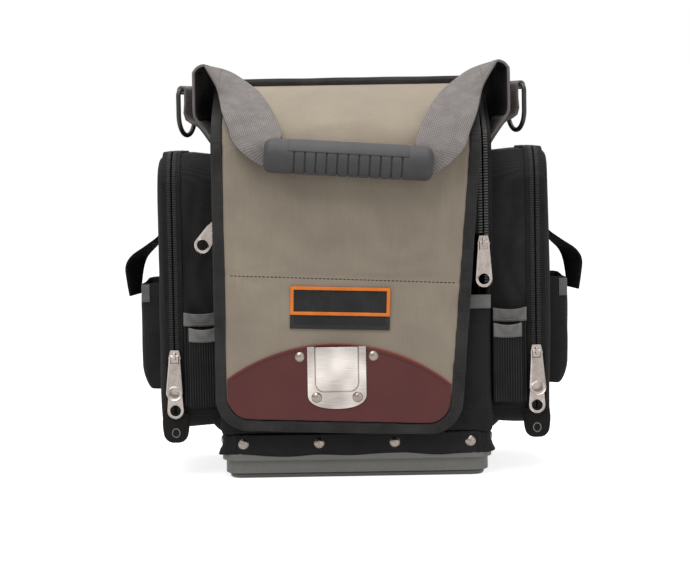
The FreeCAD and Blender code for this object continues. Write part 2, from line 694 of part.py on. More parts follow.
def build_pull(label, spot, axis, angle):
    """A tapered pull with a large eye at its tail, hung on a bar in the slider's lug."""
    pull = new_body(label)
    head, tail = S.pull_head / 2, S.pull_tail / 2
    bar = S.pull_bar
    drop = S.pull_length - bar - tail
    outline = [
        (-head, bar), (-tail, -drop), (0, -drop - tail, tail), (tail, -drop, tail), (head, bar),
    ]
    sketch = sketch_on(pull, "XZ_Plane")
    draw(sketch, outline)
    draw_circle(sketch, 0, -drop, S.pull_hole)
    eye = S.pull_eye_width / 2
    draw(sketch, rectangle(-eye, -bar - S.pull_eye_height, eye, -bar))
    add_feature(pull, "Pad", sketch, S.pull_thickness, both=True)
    rod = sketch_on(pull, "YZ_Plane")
    draw_circle(rod, 0, 0, bar)
    add_feature(pull, "Pad", rod, S.pull_eye_width, both=True)
    place(pull, spot, axis, angle)
    return keep(pull, label)


def build_sliders():
    face, pocket_face = FACE, POCKET_FRONT
    lower = S.upper_slider_z - S.slider_stagger
    rows = [
        ("right_front", MAIN_ZIP, face, S.right_slider_z, AXIS_X, as_size(0)),
        ("left_front", -MAIN_ZIP, face, S.left_slider_z, AXIS_Y, S.side_pull_tilt),
    ]
    for side, sign in (("right", 1), ("left", -1)):
        across = POCKET_ZIP * sign
        rows.append((f"{side}_pocket_upper", across, pocket_face, S.upper_slider_z, AXIS_X, -S.upper_pull_tilt))
        rows.append((f"{side}_pocket_lower", across, pocket_face, lower, AXIS_X, as_size(0)))
    for name, across, depth, height, axis, angle in rows:
        build_slider(f"{name}_slider", (across, -depth, height))
        build_pull(f"{name}_pull", (across, -depth - PULL_PLANE, height + BAR_HEIGHT), axis, angle)


# Carrying straps, rings and grip
RING_X = HALF_WIDTH + S.ring_reach


def build_anchors():
    """Webbing sewn to a side panel that leans out and turns over at the top to carry a strap."""
    anchor = new_body("anchor")
    thick = S.strap_thickness
    far = HALF_WIDTH + S.arch_reach
    foot = POCKET_TOP + S.anchor_rise
    sewn = foot + S.anchor_sewn
    rise = S.arch_shoulder + S.arch_radius
    outline = [
        (HALF_WIDTH, foot), (HALF_WIDTH + thick, foot), (HALF_WIDTH + thick, sewn),
        (far, S.arch_knee), (far, S.arch_shoulder), (far - S.arch_radius, rise, S.arch_radius),
        (far - S.arch_radius, rise - thick), (far - thick, S.arch_shoulder, thick - S.arch_radius),
        (far - thick, S.arch_knee + thick), (HALF_WIDTH, sewn + thick),
    ]
    pad(anchor, "XZ_Plane", outline, S.strap_width, S.anchor_y, both=True)
    keep_pair(anchor, "strap_anchor")


def build_rings():
    """A webbing loop and the D-ring that swings in it."""
    bore = S.ring_wire + S.ring_play
    loop = new_body("loop")
    ring_sketch = sketch_on(loop, "XZ_Plane")
    draw_circle(ring_sketch, 0, 0, bore + S.loop_thickness)
    draw_circle(ring_sketch, 0, 0, bore)
    add_feature(loop, "Pad", ring_sketch, S.loop_width, both=True)
    strip = rectangle(-bore - S.loop_thickness, -S.loop_length, -bore, 0)
    pad(loop, "XZ_Plane", strip, S.loop_width, both=True)
    place(loop, (RING_X, -S.anchor_y, S.ring_height), AXIS_Z, S.ring_yaw)
    keep_pair(loop, "ring_loop")

    ring = new_body("ring")
    half = S.ring_width / 2
    corner = S.ring_corner
    leg = half - S.ring_drop
    path = sketch_on(ring, "YZ_Plane")
    draw(path, [
        (0, 0), (half - corner, 0), (half, -corner, -corner), (half, leg), (0, -S.ring_drop, -half),
        (-half, leg, -half), (-half, -corner), (corner - half, 0, -corner),
    ])
    section = sketch_on(ring, "XZ_Plane")
    draw_circle(section, 0, 0, S.ring_wire)
    pipe = ring.newObject("PartDesign::AdditivePipe", "wire")
    pipe.Profile = section
    pipe.Spine = (path, [])
    doc.recompute()
    place(ring, (RING_X, -S.anchor_y, S.ring_height), AXIS_Z, S.ring_yaw)
    keep_pair(ring, "d_ring")


def build_grip():
    """Ribbed moulded grip, tilted a little as it hangs."""
    grip = new_body("grip")
    half = S.grip_length / 2
    profile = sketch_on(grip, "XZ_Plane")
    soft = S.grip_end_round
    draw(profile, [
        (-half, 0), (half, 0), (half, S.grip_radius - soft), (half - soft, S.grip_radius, soft),
        (soft - half, S.grip_radius), (-half, S.grip_radius - soft, soft),
    ])
    turned = grip.newObject("PartDesign::Revolution", "turned")
    turned.Profile = profile
    turned.ReferenceAxis = (profile, ["H_Axis"])
    doc.recompute()
    cut = sketch_on(grip, "XZ_Plane")
    first = -S.rib_pitch * (GRIP_RIBS - 1) / 2 - S.rib_groove / 2
    draw(cut, rectangle(first, S.grip_radius - S.rib_depth, first + S.rib_groove, S.grip_radius + S.overrun))
    groove = grip.newObject("PartDesign::Groove", "groove")
    groove.Profile = cut
    groove.ReferenceAxis = (cut, ["H_Axis"])
    doc.recompute()
    ribs = grip.newObject("PartDesign::LinearPattern", "ribs")
    ribs.Originals = [groove]
    ribs.Direction = (profile, ["H_Axis"])
    bind(ribs, "Length", S.rib_pitch * (GRIP_RIBS - 1))
    ribs.Occurrences = GRIP_RIBS
    grip.Tip = ribs
    doc.recompute()
    place(grip, (-S.grip_shift, -S.grip_y, S.grip_z), AXIS_Y, S.grip_tilt)
    keep(grip, "grip")


def strap_section(centre, tangent, width_way, width, thickness):
    """Rectangle of webbing across the way it runs."""
    across = FreeCAD.Vector(width_way).normalize() * (width / 2)
    through = tangent.cross(across).normalize() * (thickness / 2)
    corners = [centre - across - through, centre + across - through,
               centre + across + through, centre - across + through]
    return Part.makePolygon(corners + corners[:1])


def build_straps():
    """Webbing that twists from its arch at a side panel down to one end of the grip."""
    tilt = math.radians(S.grip_tilt.value)
    half = S.grip_length.value / 2 - S.strap_entry.value
    arch_x = HALF_WIDTH.value + S.arch_reach.value - S.arch_radius.value - S.strap_gap.value
    arch_z = S.arch_shoulder.value + S.arch_radius.value - S.strap_thickness.value / 2
    for side, sign in (("right", 1), ("left", -1)):
        start = FreeCAD.Vector(sign * arch_x, -S.anchor_y.value, arch_z)
        end = FreeCAD.Vector(sign * half * math.cos(tilt) - S.grip_shift.value, -S.grip_y.value,
                             S.grip_z.value - sign * half * math.sin(tilt))
        way = end - start
        centres = []
        for share_x, share_y, share_z, _, _ in STRAP_STATION_SHARES:
            centres.append(start + FreeCAD.Vector(way.x * share_x, way.y * share_y, way.z * share_z))
        centres.append(end)
        sections = []
        for number, (_, _, _, facing, width_share) in enumerate(STRAP_STATION_SHARES):
            behind = centres[max(number - 1, 0)]
            run = centres[number + 1] - behind
            tangent = FreeCAD.Vector(-sign, 0, 0) if number == 0 else run.normalize()
            across = FreeCAD.Vector(-sign * facing[0], facing[1], facing[2])
            sections.append(strap_section(centres[number], tangent, across,
                                          S.strap_width.value * width_share, S.strap_thickness.value))
        neck = FreeCAD.Vector(-sign * math.cos(tilt), 0, math.sin(tilt))
        upright = FreeCAD.Vector(0, 0, 1)
        sections.append(strap_section(end, neck, upright, S.strap_neck.value, S.strap_thickness.value))
        strap = doc.addObject("Part::Feature", f"{side}_strap")
        strap.Shape = Part.makeLoft(sections, True, True)
        keep(strap, f"{side}_strap")


# Flap and the pieces on it
def flap_outline(inset, top):
    """Front outline of the flap, inset from its edge."""
    inset = as_size(inset)
    right_foot = S.flap_right_foot - inset
    low_right = S.flap_left_foot - S.flap_foot_drop + inset
    return [
        (inset - S.flap_left, top), (inset - S.flap_left, S.flap_left_foot + inset),
        (right_foot, low_right), (S.flap_right_top - inset, SHOULDER_Z), (S.flap_right_top - inset, top),
    ]


def flap_frame():
    """A frame well outside the flap, used to trim layers to the flap's outline."""
    reach = S.flap_left + S.overrun * 2
    return rectangle(-reach, -S.overrun * 2, reach, S.ridge_height + S.overrun * 3)


def corner_test(inset):
    """Picks the edges through the sheet at the flap's two lower corners."""
    inset = as_size(inset)
    outline = flap_outline(inset, S.ridge_height)
    spots = [FreeCAD.Vector(outline[n][0].value, 0, outline[n][1].value) for n in (1, 2)]

    def chosen(edge):
        if not runs_along(edge, AXIS_Y):
            return False
        middle = edge.CenterOfMass
        return any(abs(middle.x - spot.x) < 1e-3 and abs(middle.z - spot.z) < 1e-3 for spot in spots)
    return chosen


def flap_layer(name, inner, outer, end):
    """A full-width layer of the flap before it is trimmed to its outline."""
    layer = new_body(name)
    reach = S.flap_left + S.overrun
    bottom = S.flap_left_foot - S.flap_foot_drop - S.overrun
    pad(layer, "YZ_Plane", hood_band(inner, outer, bottom, end), reach * 2, both=True)
    return layer


def build_flap():
    above = S.ridge_height + S.overrun
    cut_depth = S.base_depth * 2
    inset = S.binding_width
    canvas = flap_layer("canvas", FLAP_BACK, FLAP_FRONT, S.hinge_y)
    pocket(canvas, "XZ_Plane", flap_frame(), cut_depth, both=True, hole=flap_outline(inset, above))
    round_edges(canvas, S.flap_corner - inset, corner_test(inset))
    bead = sketch_on(canvas, "YZ_Plane", inset - S.flap_left)
    draw_circle(bead, -S.hinge_y, HINGE_Z, S.bead_radius)
    add_feature(canvas, "Pad", bead, S.flap_left + S.flap_right_top - inset * 2)
    keep(canvas, "front_flap")

    edge = flap_layer("edge", FLAP_BACK, FLAP_FRONT + S.binding_proud, S.binding_end)
    pocket(edge, "XZ_Plane", flap_frame(), cut_depth, both=True, hole=flap_outline(0, above))
    round_edges(edge, S.flap_corner, corner_test(0))
    pocket(edge, "XZ_Plane", flap_outline(inset, above), cut_depth, both=True)
    round_edges(edge, S.flap_corner - inset, corner_test(inset))
    keep(edge, "flap_binding")


def build_leather():
    inset = S.binding_width + S.leather_gap
    left, foot_left, foot_right = flap_outline(inset, S.ridge_height)[:3]
    slant = S.flap_right_top - S.flap_right_foot
    climb = SHOULDER_Z - S.flap_left_foot + S.flap_foot_drop
    right_top = foot_right[0] + slant * S.leather_side / climb
    half_chord = (right_top - left[0]) / 2
    sweep = (half_chord * half_chord + S.leather_rise * S.leather_rise) / (S.leather_rise * 2)
    patch = new_body("patch")
    outline = [
        foot_left, foot_right, (right_top, foot_right[1] + S.leather_side),
        (left[0], foot_left[1] + S.leather_side, sweep),
    ]
    pad(patch, "XZ_Plane", outline, S.leather_thickness, FLAP_FACE)
    round_edges(patch, S.flap_corner - inset, corner_test(inset))
    keep(patch, "leather_patch")


def pan_outline(middle, half, low, high, radius):
    """Front outline of a U that is open at the top, with two round lower corners."""
    return [
        (middle - half, high), (middle - half, low + radius), (middle - half + radius, low, radius),
        (middle + half - radius, low), (middle + half, low + radius, radius), (middle + half, high),
    ]


def build_clip():
    """Stamped plate with a raised pan, open at the top, that takes a tape's belt hook."""
    clip = new_body("clip")
    half = S.clip_width / 2
    middle = -S.clip_shift
    low, high = S.clip_bottom, S.clip_bottom + S.clip_height
    face = FLAP_FACE + S.leather_thickness
    bulge = half - S.clip_round
    sweep = (bulge * bulge + S.clip_sag * S.clip_sag) / (S.clip_sag * 2)
    rim = low + S.clip_sag
    plate = [
        (middle - bulge, rim, S.clip_round), (middle + bulge, rim, sweep),
        (middle + half, rim + S.clip_round, S.clip_round), (middle + half, high), (middle - half, high),
        (middle - half, rim + S.clip_round),
    ]
    pad(clip, "XZ_Plane", plate, S.clip_sheet, face)
    foot = rim + S.clip_pan_foot
    pan = pan_outline(middle, S.clip_pan_width / 2, foot, high, S.clip_round)
    pad(clip, "XZ_Plane", pan, S.clip_pan_depth + S.clip_sheet, face)
    sheet = S.clip_sheet
    hollow = pan_outline(middle, S.clip_pan_width / 2 - sheet, foot + sheet, high + S.overrun, S.clip_round - sheet)
    pocket(clip, "XZ_Plane", hollow, S.clip_pan_depth, face, backwards=True)
    keep(clip, "tape_clip")


def build_label():
    label = new_body("label")
    half = S.label_width / 2
    middle = -S.label_shift
    low, high = S.label_bottom, S.label_bottom + S.label_height
    pad(label, "XZ_Plane", rectangle(middle - half, low, middle + half, high), S.label_thickness, FLAP_FACE)
    rim = S.label_border
    field = rectangle(middle - half + rim, low + rim, middle + half - rim, high - rim)
    pocket(label, "XZ_Plane", field, S.label_recess, FLAP_FACE + S.label_thickness)
    keep(label, "label_patch")


def build_flap_rivets():
    leather_face = FLAP_FACE.value + S.leather_thickness.value
    clip_face = leather_face + S.clip_sheet.value
    middle = -S.clip_shift.value
    caps = []
    for sign in (-1, 1):
        reach = S.leather_rivet_pitch.value / 2
        spot = FreeCAD.Vector(middle + sign * reach, -leather_face, S.leather_rivet_height.value)
        caps.append(rivet_cap(spot, -AXIS_Y))
        reach = S.clip_width.value / 2 - S.clip_rivet_inset.value
        height = S.clip_bottom.value + S.clip_rivet_rise.value
        caps.append(rivet_cap(FreeCAD.Vector(middle + sign * reach, -clip_face, height), -AXIS_Y))
    rivets = doc.addObject("Part::Feature", "flap_rivets")
    rivets.Shape = Part.makeCompound(caps)
    keep(rivets, "flap_rivets")


def check_and_write():
    """Stops on any failed object or bad shape, then writes one file for each sub-part."""
    doc.recompute()
    for thing in doc.Objects:
        if "Invalid" in thing.State or "Error" in thing.State:
            raise RuntimeError(f"{thing.Label} failed: {thing.State}")
    os.makedirs("parts", exist_ok=True)
    for part in PARTS:
        shape = part.Shape
        if shape.isNull() or not shape.isValid() or not shape.Solids:
            raise RuntimeError(f"{part.Label} has no valid solid")
        shape.exportStep(os.path.join("parts", f"{part.Label}.step"))
    print(f"{len(PARTS)} sub-parts written")


def main():
    build_base()
    build_base_rivets()
    build_panels()
    build_rack()
    build_pockets()
    build_sleeves()
    build_pouches()
    build_main_zips()
    build_sliders()
    build_anchors()
    build_rings()
    build_grip()
    build_straps()
    build_flap()
    build_leather()
    build_clip()
    build_label()
    build_flap_rivets()
    check_and_write()


main()
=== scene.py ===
"""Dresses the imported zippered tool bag: soft goods, zips, stitching, materials, light and camera."""

import logging
import math
from contextlib import contextmanager
from dataclasses import dataclass
from enum import Enum
from functools import partial, reduce
from typing import Callable, Iterable, Iterator, Sequence

import bpy
from mathutils import Matrix, Vector, noise


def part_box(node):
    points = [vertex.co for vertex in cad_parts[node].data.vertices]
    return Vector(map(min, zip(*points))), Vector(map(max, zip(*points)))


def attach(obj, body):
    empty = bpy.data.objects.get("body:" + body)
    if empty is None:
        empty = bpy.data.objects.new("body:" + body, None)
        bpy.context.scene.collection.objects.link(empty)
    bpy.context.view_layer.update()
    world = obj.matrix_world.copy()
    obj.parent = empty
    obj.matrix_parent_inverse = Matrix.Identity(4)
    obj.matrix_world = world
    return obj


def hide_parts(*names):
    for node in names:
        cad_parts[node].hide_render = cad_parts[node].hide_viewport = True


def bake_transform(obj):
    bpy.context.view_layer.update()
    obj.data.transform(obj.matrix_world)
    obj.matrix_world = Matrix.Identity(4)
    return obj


LOG = logging.getLogger("tool_bag")
MM = 0.001
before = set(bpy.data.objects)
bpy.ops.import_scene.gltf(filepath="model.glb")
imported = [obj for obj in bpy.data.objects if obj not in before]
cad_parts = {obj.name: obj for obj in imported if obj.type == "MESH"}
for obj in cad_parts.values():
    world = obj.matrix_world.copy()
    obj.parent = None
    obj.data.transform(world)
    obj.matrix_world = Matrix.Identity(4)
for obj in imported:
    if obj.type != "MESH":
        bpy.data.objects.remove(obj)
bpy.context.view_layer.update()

Piece = bpy.types.Object
Tree = bpy.types.NodeTree
Node = bpy.types.Node
Socket = tuple[Node, str | int]
Colour = tuple[float, float, float, float]
Point = tuple[float, float, float]
Station = tuple[Point, Point, float]
Test = Callable[[Vector], bool]


class Body(str, Enum):
    """Bodies of the frame that the pieces ride on."""

    BAG = "bag"
    FLAP = "flap"
    HANDLE = "handle"


class Side(Enum):
    """Left and right of the bag as the viewer sees it."""

    LEFT = -1
    RIGHT = 1

    @property
    def word(self) -> str:
        """The side's name as it stands in node names."""
        return self.name.lower()


def ramp(value: float, start: float, end: float) -> float:
    """How far a value has come from a start to an end, between zero and one."""
    return min(1.0, max(0.0, (value - start) / (end - start)))


# Materials
WAVE_FACTOR = 20
GRAIN_MM = 1.6
PORE_MM = 1.3
MOTTLE_ROUGHNESS = 0.65
GLOSS_SPREAD = 0.08
ALONG_Z: Point = (1.0, 1.0, 0.06)
ALONG_X: Point = (0.06, 1.0, 1.0)


def linear_rgb(hex_colour: str) -> Colour:
    """Turns an sRGB hex colour into linear RGBA.

    Args:
        hex_colour: Six hex digits after a hash sign.

    Returns:
        Linear red, green, blue and an alpha of one.
    """
    channels = [int(hex_colour[start:start + 2], 16) / 255 for start in (1, 3, 5)]
    linear = [c / 12.92 if c <= 0.04045 else ((c + 0.055) / 1.055) ** 2.4 for c in channels]
    return (*linear, 1.0)


def add_node(tree: Tree, kind: str, inputs: dict | None = None, **settings) -> Node:
    """Adds a node, sets its properties and fills or links its inputs.

    Args:
        tree: Node tree that takes the node.
        kind: Node type.
        inputs: Input socket to a plain value, or to a (node, output) pair that is linked.
        settings: Properties of the node.

    Returns:
        The new node.
    """
    node = tree.nodes.new(kind)
    for name, value in settings.items():
        setattr(node, name, value)
    for socket, value in (inputs or {}).items():
        if isinstance(value, tuple) and len(value) == 2 and isinstance(value[0], Node):
            tree.links.new(value[0].outputs[value[1]], node.inputs[socket])
        else:
            node.inputs[socket].default_value = value
    return node


def noise_node(tree: Tree, vector: Socket, size_mm: float, detail: float, roughness: float = 0.5) -> Socket:
    """Noise whose features have a real size on metre coordinates."""
    inputs = {"Vector": vector, "Scale": 1 / (size_mm * MM), "Detail": detail, "Roughness": roughness}
    return add_node(tree, "ShaderNodeTexNoise", inputs), "Fac"


def wave_node(tree: Tree, vector: Socket, period_mm: float, axis: str, distortion: float, detail: float,
              detail_scale: float = 1.0, detail_roughness: float = 0.5) -> Socket:
    """Bands that repeat at a real spacing on metre coordinates."""
    inputs = {"Vector": vector, "Scale": math.tau / (WAVE_FACTOR * period_mm * MM), "Distortion": distortion,
              "Detail": detail, "Detail Scale": detail_scale, "Detail Roughness": detail_roughness}
    return add_node(tree, "ShaderNodeTexWave", inputs, bands_direction=axis), "Fac"


def math_node(tree: Tree, operation: str, first: Socket, second: Socket | float) -> Socket:
    """One step of arithmetic in a node tree."""
    return add_node(tree, "ShaderNodeMath", {0: first, 1: second}, operation=operation), 0


def mix_node(tree: Tree, share: Socket, low: Socket | Colour, high: Socket | Colour) -> Socket:
    """Mixes two colours by a share."""
    return add_node(tree, "ShaderNodeMix", {0: share, 6: low, 7: high}, data_type="RGBA"), 2


def stretch_node(tree: Tree, place: Node, scale: Point) -> Socket:
    """Coordinates that draw a pattern out along one direction."""
    return add_node(tree, "ShaderNodeMapping", {"Vector": (place, "Object"), "Scale": scale}), 0


@dataclass(frozen=True)
class Finish:
    """A surface finish: colours, gloss and the pattern that gives its grain."""

    name: str
    base: str
    shade: str
    roughness: float
    mottle_mm: float = 30.0
    mottle_detail: float = 4.0
    bump: float = 0.3
    bump_mm: float = 0.3
    metallic: float = 0.0
    sheen: float = 0.0
    specular: float = 0.5
    grain_tint: float = 0.8

    def relief(self, tree: Tree, place: Node) -> Socket:
        """Height pattern of the surface: a fine grain, unless a kind of finish has its own."""
        return noise_node(tree, (place, "Object"), GRAIN_MM, 3.0)

    def tint(self, tree: Tree, place: Node, relief: Socket) -> Socket:
        """Colour of the surface: its two tones by slow mottling and by the height of the pattern.

        Args:
            tree: Node tree of the material.
            place: Texture coordinate node.
            relief: Node and output of the height pattern.

        Returns:
            The node and output that carry the colour.
        """
        cloud = noise_node(tree, (place, "Object"), self.mottle_mm, self.mottle_detail, MOTTLE_ROUGHNESS)
        blend = math_node(tree, "ADD", cloud, math_node(tree, "MULTIPLY", relief, self.grain_tint))
        half = add_node(tree, "ShaderNodeMapRange", {
            "Value": blend, "From Min": 0.3 + 0.25 * self.grain_tint,
            "From Max": 0.7 + 0.7 * self.grain_tint})
        return mix_node(tree, (half, 0), linear_rgb(self.shade), linear_rgb(self.base))

    def build(self) -> bpy.types.Material:
        """Makes the node material.

        Returns:
            The finished material.
        """
        material = bpy.data.materials.new(self.name)
        material.use_nodes = True
        tree = material.node_tree
        tree.nodes.clear()
        place = add_node(tree, "ShaderNodeTexCoord")
        relief = self.relief(tree, place)
        bump = add_node(tree, "ShaderNodeBump", {
            "Strength": self.bump, "Distance": self.bump_mm * MM, "Height": relief})
        worn = add_node(tree, "ShaderNodeMapRange", {
            "Value": relief, "To Min": min(self.roughness + GLOSS_SPREAD, 1.0),
            "To Max": max(self.roughness - GLOSS_SPREAD, 0.05)})
        shader = add_node(tree, "ShaderNodeBsdfPrincipled", {
            "Base Color": self.tint(tree, place, relief), "Roughness": (worn, 0), "Metallic": self.metallic,
            "Sheen Weight": self.sheen, "Sheen Roughness": 0.6, "Specular IOR Level": self.specular,
            "Normal": (bump, 0)})
        add_node(tree, "ShaderNodeOutputMaterial", {"Surface": (shader, 0)})
        material.diffuse_color = linear_rgb(self.base)
        return material


@dataclass(frozen=True)
class WovenFinish(Finish):
    """Plain weave in the object's own directions; threads are drawn coarser than real to show."""

    thread_mm: float = 2.0
    waver: tuple[float, ...] = (1.6, 2.0, 0.6, 0.6)

    def relief(self, tree: Tree, place: Node) -> Socket:
        """Threads along the three axes, of which any flat face shows the two that lie in it."""
        threads = [wave_node(tree, (place, "Object"), self.thread_mm, axis, *self.waver) for axis in "XYZ"]
        return math_node(tree, "MULTIPLY", reduce(partial(math_node, tree, "ADD"), threads), 1 / 3)


@dataclass(frozen=True)
class SlubFinish(WovenFinish):
    """Plain weave whose upright threads swell and thin, as spun yarn does."""

    slub_mm: float = 1.4

    def relief(self, tree: Tree, place: Node) -> Socket:
        """The weave with long upright streaks laid over it."""
        streak = noise_node(tree, stretch_node(tree, place, ALONG_Z), self.slub_mm, 3.0)
        return math_node(tree, "MULTIPLY", math_node(tree, "ADD", super().relief(tree, place), streak), 0.5)


@dataclass(frozen=True)
class RibbedFinish(Finish):
    """Elastic webbing with upright ribs."""

    rib_mm: float = 2.4

    def relief(self, tree: Tree, place: Node) -> Socket:
        """Ribs side by side across the bag."""
        return wave_node(tree, (place, "Object"), self.rib_mm, "X", 0.4, 1.0)


@dataclass(frozen=True)
class WebbingFinish(Finish):
    """Basket weave of webbing that follows the strip's own length and width."""

    thread_mm: float = 2.2

    def relief(self, tree: Tree, place: Node) -> Socket:
        """Crossed threads read from the strip's own map, which is in metres."""
        threads = (wave_node(tree, (place, "UV"), self.thread_mm, axis, 0.35, 0.0) for axis in "XY")
        return math_node(tree, "MULTIPLY", *threads)


@dataclass(frozen=True)
class HideFinish(Finish):
    """Oiled leather: pebbled pores and a paler cut edge read from the piece's own attribute."""

    edge: str = "#934735"

    def relief(self, tree: Tree, place: Node) -> Socket:
        """Fine pebbles, drawn a little coarser than real to show."""
        inputs = {"Vector": (place, "Object"), "Scale": 1 / (PORE_MM * MM), "Randomness": 1.0}
        return add_node(tree, "ShaderNodeTexVoronoi", inputs), "Distance"

    def tint(self, tree: Tree, place: Node, relief: Socket) -> Socket:
        """Two leather tones, with the cut edge mixed in where the attribute marks it.

        Args:
            tree: Node tree of the material.
            place: Texture coordinate node.
            relief: Node and output of the height pattern.

        Returns:
            The node and output that carry the colour.
        """
        cloud = noise_node(tree, (place, "Object"), self.mottle_mm, 5.0)
        hide = mix_node(tree, cloud, linear_rgb(self.shade), linear_rgb(self.base))
        rim = add_node(tree, "ShaderNodeAttribute", attribute_name="edge")
        return mix_node(tree, (rim, "Fac"), hide, linear_rgb(self.edge))


@dataclass(frozen=True)
class BrushedFinish(Finish):
    """Metal with fine drawn lines along one direction."""

    line_mm: float = 0.8

    def relief(self, tree: Tree, place: Node) -> Socket:
        """Short scratches stretched across the piece."""
        return noise_node(tree, stretch_node(tree, place, ALONG_X), self.line_mm, 2.0)


# Polypropylene, injection moulded: dull grey with a fine spark-eroded grain
BASE_GREY = Finish("moulded_grey_polypropylene", "#777671", "#6a6966", 0.5, 40, 3, 0.25, 0.15, specular=0.4)
# Ballistic nylon: coarse black weave that hardly shines; the thread is drawn at 2 mm so that it shows
BLACK_NYLON = WovenFinish("black_ballistic_nylon", "#2b2a2a", "#171717", 0.85, 45, 4, 0.6, 0.5, specular=0.16)
# Knitted nylon elastic: upright ribs, matt black
BLACK_ELASTIC = RibbedFinish("black_ribbed_elastic", "#2a2a2a", "#121212", 0.85, 30, 3, 0.8, 0.8,
                             specular=0.16)
# Spun polyester canvas: taupe, with uneven upright threads; drawn coarser than the real 0.6 mm weave
TAUPE_CANVAS = SlubFinish("taupe_spun_canvas", "#9d9281", "#877c70", 0.92, 60, 5, 0.25, 0.3, sheen=0.08,
                          specular=0.15, grain_tint=0.7, thread_mm=1.4)
# Grosgrain tape: narrow black ribs, a little paler on worn edges
BLACK_BINDING = WovenFinish("black_grosgrain", "#3b3a39", "#222121", 0.85, 30, 3, 0.5, 0.3, specular=0.16,
                            thread_mm=1.8)
# Zip tape: fine flat black weave, darker than the edge bindings
ZIP_TAPE = WovenFinish("black_zip_tape", "#272625", "#161515", 0.85, 30, 3, 0.5, 0.3, specular=0.14,
                       thread_mm=1.6)
# Polyester webbing: grey basket weave with deep crossings, drawn at 1.8 mm so that it shows
GREY_WEBBING = WebbingFinish("grey_polyester_webbing", "#9a9491", "#6e6967", 0.85, 12, 6, 0.6, 0.6,
                             specular=0.2, thread_mm=1.8)
# The same webbing dyed black
BLACK_WEBBING = WebbingFinish("black_polyester_webbing", "#2b2b2b", "#121212", 0.85, 40, 4, 0.7, 0.6,
                              specular=0.16)
# Woven edge tape: flat mid grey
GREY_TAPE = WovenFinish("grey_edge_tape", "#7d7c7a", "#5f5e5c", 0.85, 20, 3, 0.4, 0.3, specular=0.16,
                        thread_mm=1.6)
# Oiled cow hide: oxblood, low gloss, pebbled, with a paler cut edge
RED_LEATHER = HideFinish("oiled_oxblood_leather", "#5b2d2b", "#4a2321", 0.5, 35, 5, 0.3, 0.25, specular=0.28)
# Aluminium sheet, stamped and satin brushed: bright and slightly streaked, with a slow cloudy mottle from
# pale to mid grey that is painted reflection
CLIP_METAL = BrushedFinish("stamped_satin_aluminium", "#d6cfc9", "#948d87", 0.3, 30, 1, 0.1, 0.1,
                           metallic=1.0, grain_tint=0.3)
# Nickel plate over zinc, tumbled: warm grey with darker hollows
NICKEL = Finish("antique_nickel", "#b3aaa4", "#8f8680", 0.26, 6, 3, 0.1, 0.1, metallic=1.0)
# The same plate where the tumbling left its dark oxide: brown grey fields inside bright rims
DARK_NICKEL = Finish("oxidised_nickel", "#857a72", "#5f5650", 0.36, 5, 3, 0.3, 0.15, metallic=1.0)
# Steel rivet caps, nickel plated: grey domes with a small sharp highlight
RIVET_NICKEL = Finish("plated_rivet_caps", "#9a8f87", "#7c726b", 0.27, 5, 2, 0.06, 0.1, metallic=1.0)
# Nylon coil: black links with a low gloss
COIL_BLACK = Finish("black_nylon_coil", "#2f2e2f", "#181718", 0.5, 4, 2, 0.1, 0.1, specular=0.25)
# Moulded acetal teeth of the larger front zips: black, with a gloss that draws each tooth
TOOTH_BLACK = Finish("black_acetal_teeth", "#4e4d4c", "#2a2929", 0.36, 4, 2, 0.1, 0.1, specular=0.45)
# Steel wire, powder coated: satin black
RING_BLACK = Finish("black_coated_steel", "#2a2a2a", "#191919", 0.38, 12, 3, 0.1, 0.1, specular=0.4)
# Thermoplastic rubber, moulded: matt dark grey
GRIP_RUBBER = Finish("soft_black_rubber", "#494849", "#3c3b3d", 0.6, 25, 3, 0.2, 0.1, specular=0.3)
# Bonded polyester thread: a slight gloss on each stitch
BLACK_THREAD = Finish("black_polyester_thread", "#3a3733", "#1c1a18", 0.7, 3, 2, 0.3, 0.1, specular=0.3)
# The same thread in grey
GREY_THREAD = Finish("grey_polyester_thread", "#85837f", "#63615f", 0.7, 3, 2, 0.3, 0.1, specular=0.3)
# The same thread in oxblood
RED_THREAD = Finish("oxblood_polyester_thread", "#4a2523", "#351816", 0.7, 3, 2, 0.3, 0.1, specular=0.3)
# Damask label: dense satin weave in orange
LABEL_ORANGE = WovenFinish("orange_woven_label", "#f58f3d", "#d8702a", 0.75, 15, 3, 0.3, 0.2, specular=0.2,
                           thread_mm=1.2)
# The label's black ground
LABEL_BLACK = WovenFinish("black_woven_label", "#343333", "#201f20", 0.7, 15, 3, 0.3, 0.2, specular=0.2,
                          thread_mm=1.2)
# Pressed polymer board: plain dark floor
BOARD_BLACK = Finish("pressed_polymer_board", "#2b2b2b", "#1d1d1d", 0.6, 20, 3, 0.3, 0.2, specular=0.3)

MATERIALS: dict[str, bpy.types.Material] = {}


def material_of(finish: Finish) -> bpy.types.Material:
    """The finish's material, made on first use."""
    if finish.name not in MATERIALS:
        MATERIALS[finish.name] = finish.build()
    return MATERIALS[finish.name]


def dress(piece: Piece, finish: Finish, slot: str | None = None) -> None:
    """Gives a piece one finish all over.

    Args:
        piece: Mesh object.
        finish: Finish to use.
        slot: Material slot of the record, for a new piece; not used.
    """
    piece.data.materials.clear()
    piece.data.materials.append(material_of(finish))


def finish_piece(piece: Piece, body: str, finish: Finish, slot: str, nodes: Sequence[str] = ()) -> None:
    """Dresses a piece, sets it on its body and hides the CAD nodes that it stands for.

    Args:
        piece: Finished mesh object.
        body: Body that it rides on.
        finish: Its finish.
        slot: Its material slot of the record.
        nodes: CAD nodes that it replaces.
    """
    dress(piece, finish, slot)
    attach(piece, body)
    if nodes:
        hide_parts(*nodes)
    LOG.info("%s rides on %s", piece.name, body)


